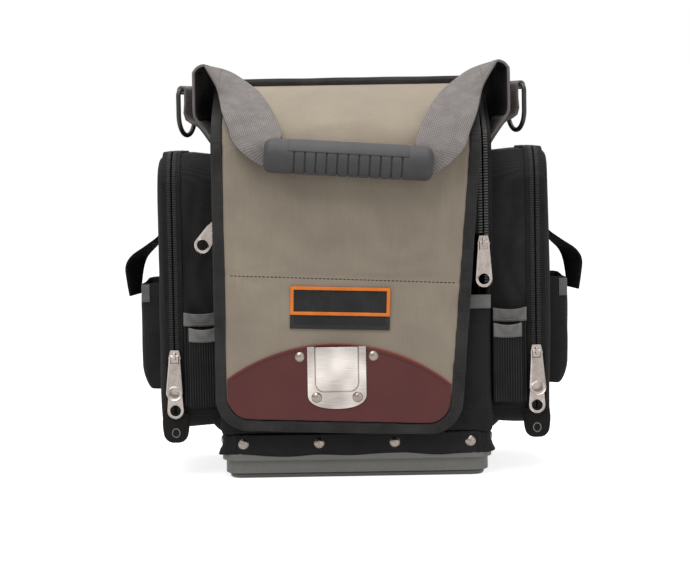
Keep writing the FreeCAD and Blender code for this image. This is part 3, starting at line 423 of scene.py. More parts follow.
# Modelling helpers
def select_only(*pieces: Piece) -> None:
    """Deselects everything, then selects objects.

    Args:
        pieces: Objects to select, of which the first becomes active.
    """
    bpy.ops.object.select_all(action="DESELECT")
    for piece in pieces:
        piece.select_set(True)
    bpy.context.view_layer.objects.active = pieces[0]


@contextmanager
def editing(piece: Piece, everything: bool = True) -> Iterator[None]:
    """Opens a piece for mesh edits and closes it afterwards.

    Args:
        piece: Mesh object.
        everything: Whether all of it is selected; otherwise the selection stays as it was.
    """
    select_only(piece)
    bpy.ops.object.mode_set(mode="EDIT")
    if everything:
        bpy.ops.mesh.select_all(action="SELECT")
    yield
    bpy.ops.object.mode_set(mode="OBJECT")


def add_object(name: str, data: bpy.types.ID) -> Piece:
    """Makes an object from its data and puts it in the scene.

    Args:
        name: Name of the object.
        data: Its mesh or camera data.

    Returns:
        The new object.
    """
    piece = bpy.data.objects.new(name, data)
    bpy.context.scene.collection.objects.link(piece)
    return piece


def primitive(name: str, add: Callable[..., set[str]], **settings) -> Piece:
    """Adds one of the basic forms, with its turn applied.

    Args:
        name: Name of the new object.
        add: Operator that adds the form.
        settings: What the operator is told.

    Returns:
        The new object.
    """
    bpy.ops.object.select_all(action="DESELECT")
    add(**settings)
    piece = bpy.context.object
    piece.name = name
    if "rotation" in settings:
        bpy.ops.object.transform_apply(location=False, rotation=True, scale=True)
    return piece


def join(pieces: Sequence[Piece], name: str) -> Piece:
    """Joins objects into one.

    Args:
        pieces: Objects to join.
        name: Name of the joined piece.

    Returns:
        The joined piece.
    """
    select_only(*pieces)
    bpy.ops.object.join()
    piece = bpy.context.object
    piece.name = name
    return piece


def apply_modifier(piece: Piece, kind: str, **settings) -> None:
    """Adds a modifier, sets it and applies it.

    Args:
        piece: Object to change.
        kind: Modifier type.
        settings: Properties of the modifier.
    """
    select_only(piece)
    modifier = piece.modifiers.new(kind.lower(), kind)
    for name, value in settings.items():
        setattr(modifier, name, value)
    bpy.ops.object.modifier_apply(modifier=modifier.name)


def bevel(piece: Piece, width_mm: float, segments: int, sharp: float) -> None:
    """Rounds the edges that are sharper than an angle in degrees."""
    apply_modifier(piece, "BEVEL", width=width_mm * MM, segments=segments, limit_method="ANGLE",
                   angle_limit=math.radians(sharp))


def smooth(piece: Piece, angle: float) -> None:
    """Shades a piece smooth, with edges sharper than an angle in degrees kept sharp."""
    select_only(piece)
    bpy.ops.object.shade_smooth_by_angle(angle=math.radians(angle))


def round_edges(piece: Piece, width_mm: float, segments: int, sharp: float = 30, shade: float = 35) -> None:
    """Rounds a piece's sharp edges and shades it so that its flat faces stay flat.

    Args:
        piece: Mesh object.
        width_mm: Width of a rounded edge.
        segments: Steps across it.
        sharp: Angle in degrees from which an edge is rounded.
        shade: Angle in degrees up to which edges are shaded smooth.
    """
    bevel(piece, width_mm, segments, sharp)
    smooth(piece, shade)
    apply_modifier(piece, "WEIGHTED_NORMAL", keep_sharp=True)


def smooth_all(piece: Piece) -> None:
    """Shades a piece smooth all over."""
    select_only(piece)
    bpy.ops.object.shade_smooth()


def remesh(piece: Piece, voxel_mm: float, rounds: int) -> None:
    """Gives a piece an even mesh and rolls its edges over by smoothing it a number of rounds."""
    apply_modifier(piece, "REMESH", mode="VOXEL", voxel_size=voxel_mm * MM, adaptivity=0.0)
    apply_modifier(piece, "SMOOTH", factor=0.5, iterations=rounds)


def copy_node(node: str, name: str, flat: bool = False) -> Piece:
    """Copies a CAD node's mesh as a new piece, with its loose triangles merged.

    Args:
        node: Name of the CAD node.
        name: Name of the new piece.
        flat: Whether the triangles of each flat face become one face.

    Returns:
        The new piece.
    """
    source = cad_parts[node]
    piece = add_object(name, source.data.copy())
    piece.data.transform(source.matrix_world)
    with editing(piece):
        bpy.ops.mesh.remove_doubles(threshold=0.01 * MM)
    piece.data.materials.clear()
    if flat:
        apply_modifier(piece, "DECIMATE", decimate_type="DISSOLVE", angle_limit=math.radians(1.0))
    return piece


def eased_piece(node: str, name: str, bevel_mm: float, segments: int, body: str, finish: Finish,
                slot: str) -> Piece:
    """Copies a CAD node with its edges rounded, as moulding or stamping leaves them, and dresses the copy.

    Args:
        node: Name of the CAD node.
        name: Name of the new piece.
        bevel_mm: Width of the rounded edge.
        segments: Steps across the rounded edge.
        body: Body that it rides on.
        finish: Its finish.
        slot: Its material slot of the record.

    Returns:
        The new piece.
    """
    piece = copy_node(node, name, flat=True)
    round_edges(piece, bevel_mm, segments)
    finish_piece(piece, body, finish, slot, [node])
    return piece


def wrinkle(piece: Piece, height_mm: float, size_mm: float, seed: float, keep: Test | None = None) -> None:
    """Moves a cloth surface in and out by slow folds.

    Args:
        piece: Mesh object.
        height_mm: Largest move.
        size_mm: Distance between folds.
        seed: Shift of the noise, so that no two pieces fold alike.
        keep: Points that stay where they are.
    """
    shift = Vector((seed, seed * 0.7, seed * 1.3))
    moves = []
    for vertex in piece.data.vertices:
        if keep and keep(vertex.co / MM):
            moves.append(Vector())
            continue
        amount = noise.noise(vertex.co / (size_mm * MM) + shift)
        moves.append(vertex.normal * amount * height_mm * MM)
    for vertex, move in zip(piece.data.vertices, moves):
        vertex.co += move


@dataclass(frozen=True)
class Cloth:
    """How a CAD sheet becomes soft cloth: size of its faces, rounds of smoothing, and its slow folds."""

    voxel_mm: float
    rounds: int
    fold_mm: float
    fold_size_mm: float
    seed: float

    def piece(self, node: str, name: str, body: str, finish: Finish, slot: str,
              shape: Callable[[Piece], None] | None = None) -> None:
        """Copies a CAD sheet as cloth and dresses the copy in its place.

        Args:
            node: Name of the CAD node.
            name: Name of the new piece.
            body: Body that it rides on.
            finish: Its finish.
            slot: Its material slot of the record.
            shape: Gives the cloth its hang.
        """
        piece = copy_node(node, name)
        remesh(piece, self.voxel_mm, self.rounds)
        wrinkle(piece, self.fold_mm, self.fold_size_mm, self.seed)
        smooth_all(piece)
        if shape:
            shape(piece)
        finish_piece(piece, body, finish, slot, [node])


def inflate(piece: Piece, pressure: float, cap_mm: float, pinned: Test, frames: int = 16) -> None:
    """Swells a padded piece with a cloth simulation, and limits how far it moves.

    Args:
        piece: Closed mesh object.
        pressure: Air pressure inside.
        cap_mm: Furthest that a point may move.
        pinned: Points that stay where they are, in millimetres.
        frames: Steps of the simulation.
    """
    before = [vertex.co.copy() for vertex in piece.data.vertices]
    pins = piece.vertex_groups.new(name="pins")
    pins.add([v.index for v in piece.data.vertices if pinned(v.co / MM)], 1.0, "REPLACE")
    select_only(piece)
    modifier = piece.modifiers.new("padding", "CLOTH")
    cloth = modifier.settings
    cloth.use_pressure = True
    cloth.uniform_pressure_force = pressure
    cloth.effector_weights.gravity = 0.0
    cloth.vertex_group_mass = "pins"
    cloth.tension_stiffness = 20
    cloth.compression_stiffness = 20
    cloth.bending_stiffness = 2
    modifier.point_cache.frame_start = 1
    modifier.point_cache.frame_end = frames
    for number in range(1, frames + 1):
        bpy.context.scene.frame_set(number)
    bpy.ops.object.modifier_apply(modifier=modifier.name)
    bpy.context.scene.frame_set(1)
    for vertex, start in zip(piece.data.vertices, before):
        move = vertex.co - start
        if move.length > cap_mm * MM:
            vertex.co = start + move.normalized() * cap_mm * MM
    piece.vertex_groups.clear()


def smooth_line(points: Sequence[Vector], steps: int) -> list[Vector]:
    """Runs a smooth curve through points.

    Args:
        points: Points to pass through.
        steps: Steps between neighbouring points.

    Returns:
        Points along the curve.
    """
    line = []
    last = len(points) - 1
    for number in range(last):
        before, start = points[max(number - 1, 0)], points[number]
        end, after = points[number + 1], points[min(number + 2, last)]
        for step in range(steps):
            t = step / steps
            line.append(0.5 * (2 * start + (end - before) * t
                               + (2 * before - 5 * start + 4 * end - after) * t ** 2
                               + (3 * start - before - 3 * end + after) * t ** 3))
    line.append(points[-1].copy())
    return line


@dataclass
class Strip:
    """A length of webbing or tape that runs through stations.

    Each station is its middle, the direction of its width and its width, in millimetres. A strip that
    isn't square keeps each station's own width direction, as webbing pulled askew does.
    """

    name: str
    stations: list[Station]
    thickness: float
    steps: int = 6
    columns: int = 8
    crown: float = 0.0
    square: bool = True
    offset: float = 0.0
    inset: float = 0.0

    def build(self) -> Piece:
        """Makes the strip as a grid laid along the stations, with a map in metres.

        Returns:
            The finished strip.
        """
        middles = smooth_line([Vector(s[0]) for s in self.stations], self.steps)
        ways = smooth_line([Vector(s[1]).normalized() for s in self.stations], self.steps)
        widths = smooth_line([Vector((s[2], 0, 0)) for s in self.stations], self.steps)
        rows = len(middles)
        piece = primitive(self.name, bpy.ops.mesh.primitive_grid_add, x_subdivisions=self.columns,
                          y_subdivisions=rows - 1, size=1)
        per_row = self.columns + 1
        length = 0.0
        along = []
        for row in range(rows):
            if row:
                length += (middles[row] - middles[row - 1]).length
            along.append(length)
            run = (middles[min(row + 1, rows - 1)] - middles[max(row - 1, 0)]).normalized()
            across = ways[row].normalized()
            if self.square:
                across = (across - run * across.dot(run)).normalized()
            face = run.cross(across).normalized()
            for column in range(per_row):
                share = column / self.columns - 0.5
                lift = self.crown * (1 - 4 * share * share) + self.offset
                spot = middles[row] + across * share * (widths[row].x - 2 * self.inset) + face * lift
                piece.data.vertices[row * per_row + column].co = spot * MM
        for polygon in piece.data.polygons:
            for loop in polygon.loop_indices:
                row, column = divmod(piece.data.loops[loop].vertex_index, per_row)
                share = column / self.columns
                piece.data.uv_layers[0].data[loop].uv = (share * widths[row].x * MM, along[row] * MM)
        apply_modifier(piece, "SOLIDIFY", thickness=self.thickness * MM, offset=0.0)
        bevel(piece, self.thickness * 0.3, 2, 50)
        smooth(piece, 60)
        return piece

    def lay(self, body: str, finish: Finish, slot: str, nodes: Sequence[str] = ()) -> None:
        """Makes the strip, dresses it and sets it on its body in place of CAD nodes."""
        finish_piece(self.build(), body, finish, slot, nodes)


def walk(points: Sequence[Vector], pitch: float, start: float) -> list[tuple[Vector, Vector]]:
    """Steps along a line at an even pitch.

    Args:
        points: Corners of the line.
        pitch: Distance between steps.
        start: Distance before the first step.

    Returns:
        Each step's place and the direction of the line there.
    """
    steps = []
    ahead = start
    for first, last in zip(points, points[1:]):
        run = last - first
        while ahead <= run.length:
            steps.append((first + run.normalized() * ahead, run.normalized()))
            ahead += pitch
        ahead -= run.length
    return steps


def square_out(run: Vector) -> Vector:
    """Direction square to a line up the front or over the top, away from the bag."""
    return Vector((0, -run.z, run.y))


def repeat(stamp: Piece, steps: Iterable[tuple[Vector, Vector]], out: Callable[[Vector], Vector],
           name: str) -> Piece:
    """Copies a small form along a line and joins the copies.

    Args:
        stamp: Form modelled at the origin, along X, with Z outwards. It is used up.
        steps: Places and directions, in millimetres.
        out: Gives the outward direction for the line's direction.
        name: Name of the joined piece.

    Returns:
        The joined piece.
    """
    copies = []
    for spot, run in steps:
        outward = out(run)
        outward = (outward - run * outward.dot(run)).normalized()
        side = outward.cross(run)
        twin = add_object(name, stamp.data.copy())
        turn = Matrix((run, side, outward)).transposed().to_4x4()
        twin.data.transform(Matrix.Translation(spot * MM) @ turn)
        copies.append(twin)
    bpy.data.objects.remove(stamp)
    return join(copies, name)


def block(size: Point, bevel_mm: float, segments: int = 1) -> Piece:
    """A small rounded block at the origin, the start of a tooth or a stitch.

    Args:
        size: Its length, width and height in millimetres.
        bevel_mm: Width of its rounded edges.
        segments: Steps across a rounded edge.

    Returns:
        The block.
    """
    piece = primitive("stamp", bpy.ops.mesh.primitive_cube_add, size=1)
    piece.data.transform(Matrix.Diagonal((*(length * MM for length in size), 1)))
    apply_modifier(piece, "BEVEL", width=bevel_mm * MM, segments=segments)
    smooth(piece, 60)
    return piece


@dataclass
class Stitching:
    """A row of stitches along a line."""

    name: str
    line: list[Vector]
    outward: Vector
    body: str
    finish: Finish
    slot: str
    length: float = 2.6
    pitch: float = 3.8
    width: float = 0.9
    height: float = 0.7

    def build(self) -> None:
        """Makes the row and sets it on its body."""
        stitch = block((self.length, self.width, self.height), 0.25)
        steps = walk(self.line, self.pitch, self.pitch / 2)
        piece = repeat(stitch, steps, lambda run: self.outward, self.name)
        finish_piece(piece, self.body, self.finish, self.slot)


@dataclass(frozen=True)
class Hood:
    """Side profile of the front bay: straight front, round shoulder, slope up to the ridge."""

    shoulder_y: float = -76.0
    shoulder_z: float = 310.0
    slope: float = math.radians(25)
    steps: int = 8

    def line(self, x: float, radius: float, low: float, end: float) -> list[Vector]:
        """A line up the profile at one distance outside the panel.

        Args:
            x: Place across the bag.
            radius: Radius at the shoulder.
            low: Height of its lower end.
            end: Depth of its upper end.

        Returns:
            Points of the line, in millimetres.
        """
        points = [Vector((x, self.shoulder_y - radius, low))]
        for step in range(self.steps + 1):
            angle = (math.pi / 2 - self.slope) * step / self.steps
            points.append(Vector((x, self.shoulder_y - radius * math.cos(angle),
                                  self.shoulder_z + radius * math.sin(angle))))
        rise = (radius + (end - self.shoulder_y) * math.sin(self.slope)) / math.cos(self.slope)
        points.append(Vector((x, end, self.shoulder_z + rise)))
        return points


HOOD = Hood()


@dataclass(frozen=True)
class Chain:
    """Kind of zip chain: the size, rounding, pitch and finish of its links."""

    size: Point
    bevel: float
    pitch: float
    finish: Finish
    lead: float = 1.2

    def half(self, name: str, line: list[Vector], body: str) -> None:
        """Makes one side of a chain and sets it on its body.

        Args:
            name: Name of the piece.
            line: Line of its middle, in millimetres.
            body: Body that it rides on.
        """
        link = block(self.size, self.bevel, 2)
        piece = repeat(link, walk(line, self.pitch, self.lead), square_out, name)
        finish_piece(piece, body, self.finish, "zip_coil")


FRONT_TEETH = Chain((1.5, 4.4, 2.6), 0.45, 2.6, TOOTH_BLACK)
POCKET_COIL = Chain((1.35, 4.0, 2.2), 0.5, 2.2, COIL_BLACK)
FRONT_CHAIN_RADIUS = 22.12


@dataclass
class MouldedBase:
    """Grey moulded base, its black skirt and the rivets through it."""

    hang: float = 3.0
    flare_side: float = 4.5
    flare_front: float = 1.0
    half_width: float = 129.0
    half_depth: float = 97.0
    edge_share: float = 0.93
    flare_top: float = 0.6
    sag_level: float = 0.9
    tuck: float = 0.3
    fold_size: float = 42.0

    def build(self) -> None:
        """Makes the base's pieces."""
        eased_piece("base_tray", "moulded_base", 1.2, 3, Body.BAG, BASE_GREY, "base_plastic")
        Cloth(1.0, 3, 0.0, 30, 2.0).piece("base_skirt", "base_skirt_cloth", Body.BAG, BLACK_NYLON,
                                          "black_nylon", self.slacken)
        eased_piece("floor_board", "floor_panel", 0.8, 3, Body.BAG, BOARD_BLACK, "board")
        dress(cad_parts["base_rivets"], RIVET_NICKEL)

    def slacken(self, skirt: Piece) -> None:
        """Flares the skirt's lower edge out over the base's rim and lets it hang unevenly.

        Args:
            skirt: Skirt to move.
        """
        low, high = (corner[2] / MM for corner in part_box("base_skirt"))
        for vertex in skirt.data.vertices:
            spot = vertex.co / MM
            share = ramp(spot.z, low, high)
            wave = noise.noise(Vector((spot.x / self.fold_size, spot.y / self.fold_size, 4.0)))
            away = max(0.0, 1 - share / self.flare_top) ** 2
            out = Vector((spot.x / self.half_width, spot.y / self.half_depth, 0))
            for axis, flare in enumerate((self.flare_side, self.flare_front)):
                if abs(out[axis]) > self.edge_share:
                    vertex.co[axis] += out[axis] * MM * (flare * away - self.tuck)
            vertex.co.z -= self.hang * MM * (self.sag_level + wave) * (1 - share) ** 2


@dataclass
class BodyShell:
    """Panels of the two bays, the rack in the front bay and the body's half of the front zips."""

    panel_folds: float = 1.0
    coil_middle: float = 122.5
    coil_half: float = 2.75
    coil_low: float = 182.0
    coil_end: float = -16.0
    rear_face: float = 95.0
    rear_low: float = 46.0
    half_width: float = 129.0
    corner: float = 15.0
    wall: float = 4.0
    belly: float = 6.0
    rim_dip: float = 5.0
    dip_low: float = 200.0
    hip: float = 9.0
    hip_low: float = 40.0
    hip_high: float = 66.0
    hip_reach: float = 76.0
    hip_fade: float = 10.0
    seam_half: int = 108
    seam_step: int = 12
    seam_lift: float = 0.2
    rim_drop: float = 3.5
    rim_width: float = 11.0
    rim_thickness: float = 6.4

    def build(self) -> None:
        """Makes the shell's pieces."""
        self.build_shell()
        Cloth(2.0, 4, self.panel_folds, 60, 7.0).piece("centre_panel", "centre_cloth", Body.BAG, BLACK_NYLON,
                                                       "black_nylon")
        self.build_rim()
        self.build_rear_seams()
        Cloth(1.2, 4, 0.5, 40, 8.0).piece("ridge_binding", "ridge_tape", Body.BAG, BLACK_BINDING, "binding")
        eased_piece("tool_rack", "tool_rack_cloth", 0.6, 2, Body.BAG, BLACK_NYLON, "black_nylon")
        Cloth(0.7, 3, 0.2, 25, 9.0).piece("front_wall_trim", "front_trim_tape", Body.BAG, GREY_TAPE, "trim")
        eased_piece("front_zip_body_side", "front_zip_tape", 0.5, 2, Body.BAG, ZIP_TAPE, "zip_coil")
        for side in Side:
            across = side.value * (self.coil_middle + self.coil_half)
            line = HOOD.line(across, FRONT_CHAIN_RADIUS, self.coil_low, self.coil_end)
            FRONT_TEETH.half(f"{side.word}_front_coil", line, Body.BAG)

    @property
    def rear_top(self) -> float:
        """Height of the rear wall's rim."""
        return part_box("rear_wall")[1][2] / MM

    @property
    def side_top(self) -> float:
        """Height of the side panels at the ridge."""
        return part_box("left_side_panel")[1][2] / MM

    def build_shell(self) -> None:
        """One soft shell of the sides, the front and the rear, with round rear corners and a sagging rim."""
        nodes = ("left_side_panel", "right_side_panel", "rear_wall", "front_wall")
        shell = join([copy_node(node, "bag_shell") for node in nodes], "bag_shell")
        remesh(shell, 2.2, 6)
        for vertex in shell.data.vertices:
            vertex.co = self.settle(vertex.co / MM) * MM
        wrinkle(shell, self.panel_folds, 55, 5.0)
        smooth_all(shell)
        finish_piece(shell, Body.BAG, BLACK_NYLON, "black_nylon", nodes)

    def settle(self, spot: Vector) -> Vector:
        """Where a point of the flat panels goes once the cloth has rounded, bellied and sagged.

        Args:
            spot: Point of the panels, in millimetres.

        Returns:
            The point of the soft shell.
        """
        moved = spot.copy()
        if abs(spot.x) > self.half_width - self.wall - 2:
            moved.x += math.copysign(self.hip * self.hip_share(spot), spot.x)
        across = abs(spot.x) - (self.half_width - self.corner)
        deep = spot.y - (self.rear_face - self.corner)
        if across > 0 and deep > 0:
            turn = max(across, deep) / math.hypot(across, deep)
            moved.x = math.copysign(self.half_width - self.corner + across * turn, spot.x)
            moved.y = self.rear_face - self.corner + deep * turn
        if deep > 0:
            share = min(1.0, deep / (self.corner - self.wall))
            moved.y += share * self.bulge(moved.x, spot.z)
            high = max(0.0, (spot.z - self.dip_low) / (self.rear_top - self.dip_low))
            moved.z -= share * self.dip(moved.x) * high ** 2
        return moved

    def hip_share(self, spot: Vector) -> float:
        """How much of the fold under the side pockets a point of the side panels takes up."""
        up = (ramp(spot.z, self.hip_low, self.hip_low + self.hip_fade)
              * ramp(spot.z, self.hip_high, self.hip_high - self.hip_fade))
        return up * ramp(abs(spot.y), self.hip_reach, self.hip_reach - self.hip_fade)

    def bulge(self, x: float, z: float) -> float:
        """How far the rear wall stands out at a place."""
        up = ramp(z, self.rear_low, self.rear_top)
        return self.belly * self.middle_share(x) * math.sin(math.pi * up ** 0.8) ** 0.8

    def dip(self, x: float) -> float:
        """How far the rear rim hangs below a straight line at a place."""
        return self.rim_dip * self.middle_share(x)

    def middle_share(self, x: float) -> float:
        """One at the bag's middle, falling to zero at its sides."""
        return max(0.0, 1 - (x / self.half_width) ** 2)

    def build_rim(self) -> None:
        """Tape folded over the rear bay's rim, up the sides and along the back."""
        upright = Vector((0, 0, 1))
        rise = self.side_top - self.rear_top
        square = Vector((0, rise, self.rear_face)).normalized()
        middle_x = self.half_width - self.wall / 2
        middle_y = self.rear_face - self.wall / 2
        half = []
        for deep in (5.0, 30.0, 55.0, 74.0):
            height = self.rear_top + rise * (self.rear_face - deep) / self.rear_face
            half.append((Vector((middle_x, deep, height)), square))
        inner = self.corner - self.wall / 2
        for angle in (15, 45, 75):
            turn = math.radians(angle)
            spot = Vector((self.half_width - self.corner + inner * math.cos(turn),
                           self.rear_face - self.corner + inner * math.sin(turn), 0))
            spot.z = self.rear_top + rise * max(0.0, self.rear_face - spot.y - 4) / self.rear_face
            half.append((spot, square.lerp(upright, angle / 90)))
        for across in (92.0, 60.0, 30.0):
            half.append((Vector((across, middle_y, self.rear_top - self.dip(across))), upright))
        centre = (Vector((0, middle_y, self.rear_top - self.rim_dip)), upright)
        other = [(Vector((-spot.x, spot.y, spot.z)), way) for spot, way in reversed(half)]
        stations = [(tuple(spot - way * self.rim_drop), tuple(way), self.rim_width)
                    for spot, way in (*half, centre, *other)]
        Strip("rear_rim_tape", stations, self.rim_thickness, steps=5, columns=6).lay(
            Body.BAG, BLACK_BINDING, "binding")

    def build_rear_seams(self) -> None:
        """Stitch rows under the rear rim, above the base and down both rear corners."""
        across = range(-self.seam_half, self.seam_half + 1, self.seam_step)
        lines = {
            "upper": [(x, self.rear_top - 15 - self.dip(x)) for x in across],
            "lower": [(x, self.rear_low + 14) for x in across],
        }
        for side in Side:
            heights = range(62, int(self.rear_top) - 16, self.seam_step)
            lines[side.word] = [(side.value * self.seam_half, z) for z in heights]
        for name, spots in lines.items():
            line = [Vector((x, self.rear_face + self.bulge(x, z) + self.seam_lift, z)) for x, z in spots]
            Stitching(f"rear_{name}_stitches", line, Vector((0, 1, 0)), Body.BAG, BLACK_THREAD, "black_nylon",
                      3.0, 4.4).build()


@dataclass
class FrontFlap:
    """Padded canvas flap with its binding, leather patch, clip and label."""

    face: float = -112.0
    inner_left: float = -122.0
    foot_right: float = 87.5
    foot_z: float = 41.0
    spread: float = 22.0
    straight_z: float = 310.0
    hem: float = 9.0
    sewn_top: float = 146.0
    seam_left: float = 197.0
    seam_right: float = 186.5
    seam_middle: float = 190.0
    front_zone: float = -90.0
    seam_hold: float = 4.0
    ridge_hold: float = -20.0
    tuck_reach: float = 5.0
    tuck_most: float = 4.0
    tuck_share: float = 0.8
    pinch: float = 1.1
    pinch_reach: float = 6.0
    pinch_face: float = -108.0
    dip_run: tuple[float, float] = (-46.0, -16.0)
    coil_across: float = 119.75
    coil_low: float = 264.0
    tongue_low: float = 231.0
    coil_end: float = -22.0
    ridge_dip: float = 5.0
    label_strip: float = 13.0
    label_border: float = 3.2
    label_lean: float = math.radians(1.95)
    leather_rise: float = 36.0
    leather_lean: float = 4.0
    leather_rim: float = 1.6
    leather_hem: float = 4.2
    leather_front: float = 2.0
    arc_steps: int = 24
    pan_step: float = 4.0
    clip_sag: float = 5.0
    clip_round: float = 9.0
    clip_power: float = 2.3
    clip_near: float = 0.05
    corner_left: float = -129.0
    hinge_tape: Point = (-9.5, 369.8, 10.0)
    hinge_bend: tuple[float, float] = (-5.5, -13.5)

    def right_edge(self, z: float) -> float:
        """The canvas's right edge at a height."""
        rise = self.straight_z - self.foot_z
        return self.foot_right + self.spread * (min(z, self.straight_z) - self.foot_z) / rise

    def seam_height(self, x: float) -> float:
        """Height of the seam across the flap."""
        share = (x - self.inner_left) / (self.right_edge(self.seam_middle) - self.inner_left)
        return self.seam_left + (self.seam_right - self.seam_left) * share

    def sewn_down(self, spot: Vector) -> bool:
        """Whether a point of the canvas is held by the binding, the seam or a piece sewn on it.

        Args:
            spot: Point of the canvas, in millimetres.

        Returns:
            True where it is held.
        """
        near_edge = spot.x < self.inner_left + self.hem or spot.x > self.right_edge(spot.z) - self.hem
        on_seam = spot.y < self.front_zone and abs(spot.z - self.seam_height(spot.x)) < self.seam_hold
        return near_edge or on_seam or spot.z < self.sewn_top or spot.y > self.ridge_hold

    def build(self) -> None:
        """Makes the flap's pieces."""
        canvas = copy_node("front_flap", "canvas_flap")
        remesh(canvas, 2.8, 8)
        self.tuck_edges(canvas)
        inflate(canvas, 3.0, 4.0, self.sewn_down)
        wrinkle(canvas, 1.6, 55, 11.0, self.sewn_down)
        self.draw_in(canvas)
        smooth_all(canvas)
        finish_piece(canvas, Body.FLAP, TAUPE_CANVAS, "canvas", ["front_flap"])
        Cloth(1.2, 10, 0.5, 35, 12.0).piece("flap_binding", "flap_edge_tape", Body.FLAP, BLACK_BINDING,
                                            "binding", self.tuck_corner)
        self.build_hinge()
        self.build_seam()
        self.build_leather()
        self.build_label()
        self.build_clip()
        dress(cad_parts["flap_rivets"], RIVET_NICKEL)
        self.build_zip()

    def tuck_edges(self, canvas: Piece) -> None:
        """Pushes the canvas's upright edges into the binding that is folded over them.

        Args:
            canvas: Canvas to move.
        """
        for vertex in canvas.data.vertices:
            spot = vertex.co / MM
            past_right = spot.x - (self.right_edge(spot.z) - self.tuck_reach)
            past_left = (self.inner_left + self.tuck_reach) - spot.x
            if past_right > 0:
                vertex.co.x += min(past_right, self.tuck_most) * self.tuck_share * MM
            elif past_left > 0:
                vertex.co.x -= min(past_left, self.tuck_most) * self.tuck_share * MM

    def tuck_corner(self, binding: Piece) -> None:
        """Draws the binding's upper left corner in, so that it clears the strap's backing as the flap lifts.

        Args:
            binding: Binding to move.
        """
        for vertex in binding.data.vertices:
            spot = vertex.co / MM
            past = self.corner_left - spot.x
            if past > 0:
                vertex.co.x += self.tuck_share * past * ramp(spot.y, -30, -20) * MM

    def draw_in(self, canvas: Piece) -> None:
        """Draws the canvas in along its seam, and its rear edge down to where it is sewn to the ridge.

        Args:
            canvas: Canvas to move.
        """
        for vertex in canvas.data.vertices:
            spot = vertex.co / MM
            gap = abs(spot.z - self.seam_height(spot.x))
            if spot.y <= self.pinch_face and gap < self.pinch_reach:
                vertex.co.y += self.pinch * MM * (1 - gap / self.pinch_reach) ** 2
            vertex.co.z -= self.ridge_dip * MM * ramp(vertex.co.y / MM, *self.dip_run) ** 2

    def build_hinge(self) -> None:
        """Tape under the rear edge of the canvas, between the ridge and the flap, baked in place."""
        middle, height, width = self.hinge_tape
        stations = [((x, middle, height), (0, 1, 0), width) for x in (-118.0, -6.0, 106.0)]
        tape = Strip("flap_hinge_tape", stations, 1.2, columns=12).build()
        dress(tape, BLACK_BINDING, "binding")
        first, last = ((0, y * MM, height * MM) for y in self.hinge_bend)
        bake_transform(tape)
        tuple(first)
        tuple(last)
        LOG.info("%s bends between %s and %s", tape.name, Body.BAG.value, Body.FLAP.value)

    def build_seam(self) -> None:
        """Stitches along the seam across the flap."""
        line = []
        for share in (0.02, 0.35, 0.7, 0.98):
            x = self.inner_left + (self.right_edge(self.seam_middle) - self.inner_left) * share
            line.append(Vector((x, self.face + 0.7, self.seam_height(x) - 1.2)))
        Stitching("canvas_seam", line, Vector((0, -1, 0)), Body.FLAP, BLACK_THREAD, "canvas").build()

    def build_leather(self) -> None:
        """Leather patch with rolled edges, a paler cut edge along its top and a row of stitches."""
        patch = copy_node("leather_patch", "leather_front")
        remesh(patch, 0.9, 3)
        rim = patch.data.attributes.new("edge", "FLOAT", "POINT")
        arc = self.leather_arc(0.0)
        for vertex in patch.data.vertices:
            spot = vertex.co / MM
            below = self.arc_height(arc, spot.x) - spot.z
            rim.data[vertex.index].value = max(0.0, 1 - below / self.leather_rim)
        smooth_all(patch)
        finish_piece(patch, Body.FLAP, RED_LEATHER, "leather", ["leather_patch"])
        front = self.face - self.leather_front
        line = [Vector((x, front, z)) for x, z in self.leather_arc(self.leather_hem)]
        Stitching("leather_stitches", line, Vector((0, -1, 0)), Body.FLAP, RED_THREAD, "leather", 2.2,
                  3.4).build()

    def leather_arc(self, inset: float) -> list[tuple[float, float]]:
        """Points along the leather's arched top, at an inset below it. It drops with the flap's askew foot.

        Args:
            inset: Distance inside the edge.

        Returns:
            Points across the flap and up it.
        """
        low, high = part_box("leather_patch")
        left, right, peak = low[0] / MM, high[0] / MM, high[2] / MM
        half = (right - left) / 2
        radius = (half * half + self.leather_rise * self.leather_rise) / (2 * self.leather_rise)
        middle = (left + right) / 2
        points = []
        for step in range(self.arc_steps + 1):
            x = left + inset + (right - left - 2 * inset) * step / self.arc_steps
            lift = math.sqrt(radius * radius - (x - middle) ** 2)
            points.append((x, peak - radius + lift - inset - self.leather_lean * (x - middle) / half))
        return points

    def arc_height(self, arc: list[tuple[float, float]], x: float) -> float:
        """Height of the arch at one place across the flap.

        Args:
            arc: Points along the arch.
            x: Place across the flap.

        Returns:
            The height between the two nearest points.
        """
        for (left, low), (right, high) in zip(arc, arc[1:]):
            if left <= x <= right:
                return low + (high - low) * (x - left) / (right - left)
        return arc[0][1] if x < arc[0][0] else arc[-1][1]

    def build_clip(self) -> None:
        """Clip whose pressed pan rises from its flange in a broad round step."""
        clip = copy_node("tape_clip", "stamped_clip", flat=True)
        low, high = (Vector(corner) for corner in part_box("tape_clip"))
        front, top = low.y, high.z
        points = clip.data.vertices
        for point in points:
            point.co.z = self.clip_foot(point.co, low, high)
        weights = clip.data.attributes.new("bevel_weight_edge", "FLOAT", "EDGE")
        for edge in clip.data.edges:
            ends = [points[number].co for number in edge.vertices]
            on_pan = all(end.y < front + self.clip_near * MM for end in ends)
            on_top = all(end.z > top - self.clip_near * MM for end in ends)
            weights.data[edge.index].value = 1.0 if on_pan and not on_top else 0.0
        apply_modifier(clip, "BEVEL", width=self.pan_step * MM, segments=5, limit_method="WEIGHT")
        round_edges(clip, 0.4, 2, 50, 40)
        # The clip's slow cloudy mottle from pale to mid grey is painted reflection.
        finish_piece(clip, Body.FLAP, CLIP_METAL, "clip_metal", ["tape_clip"])

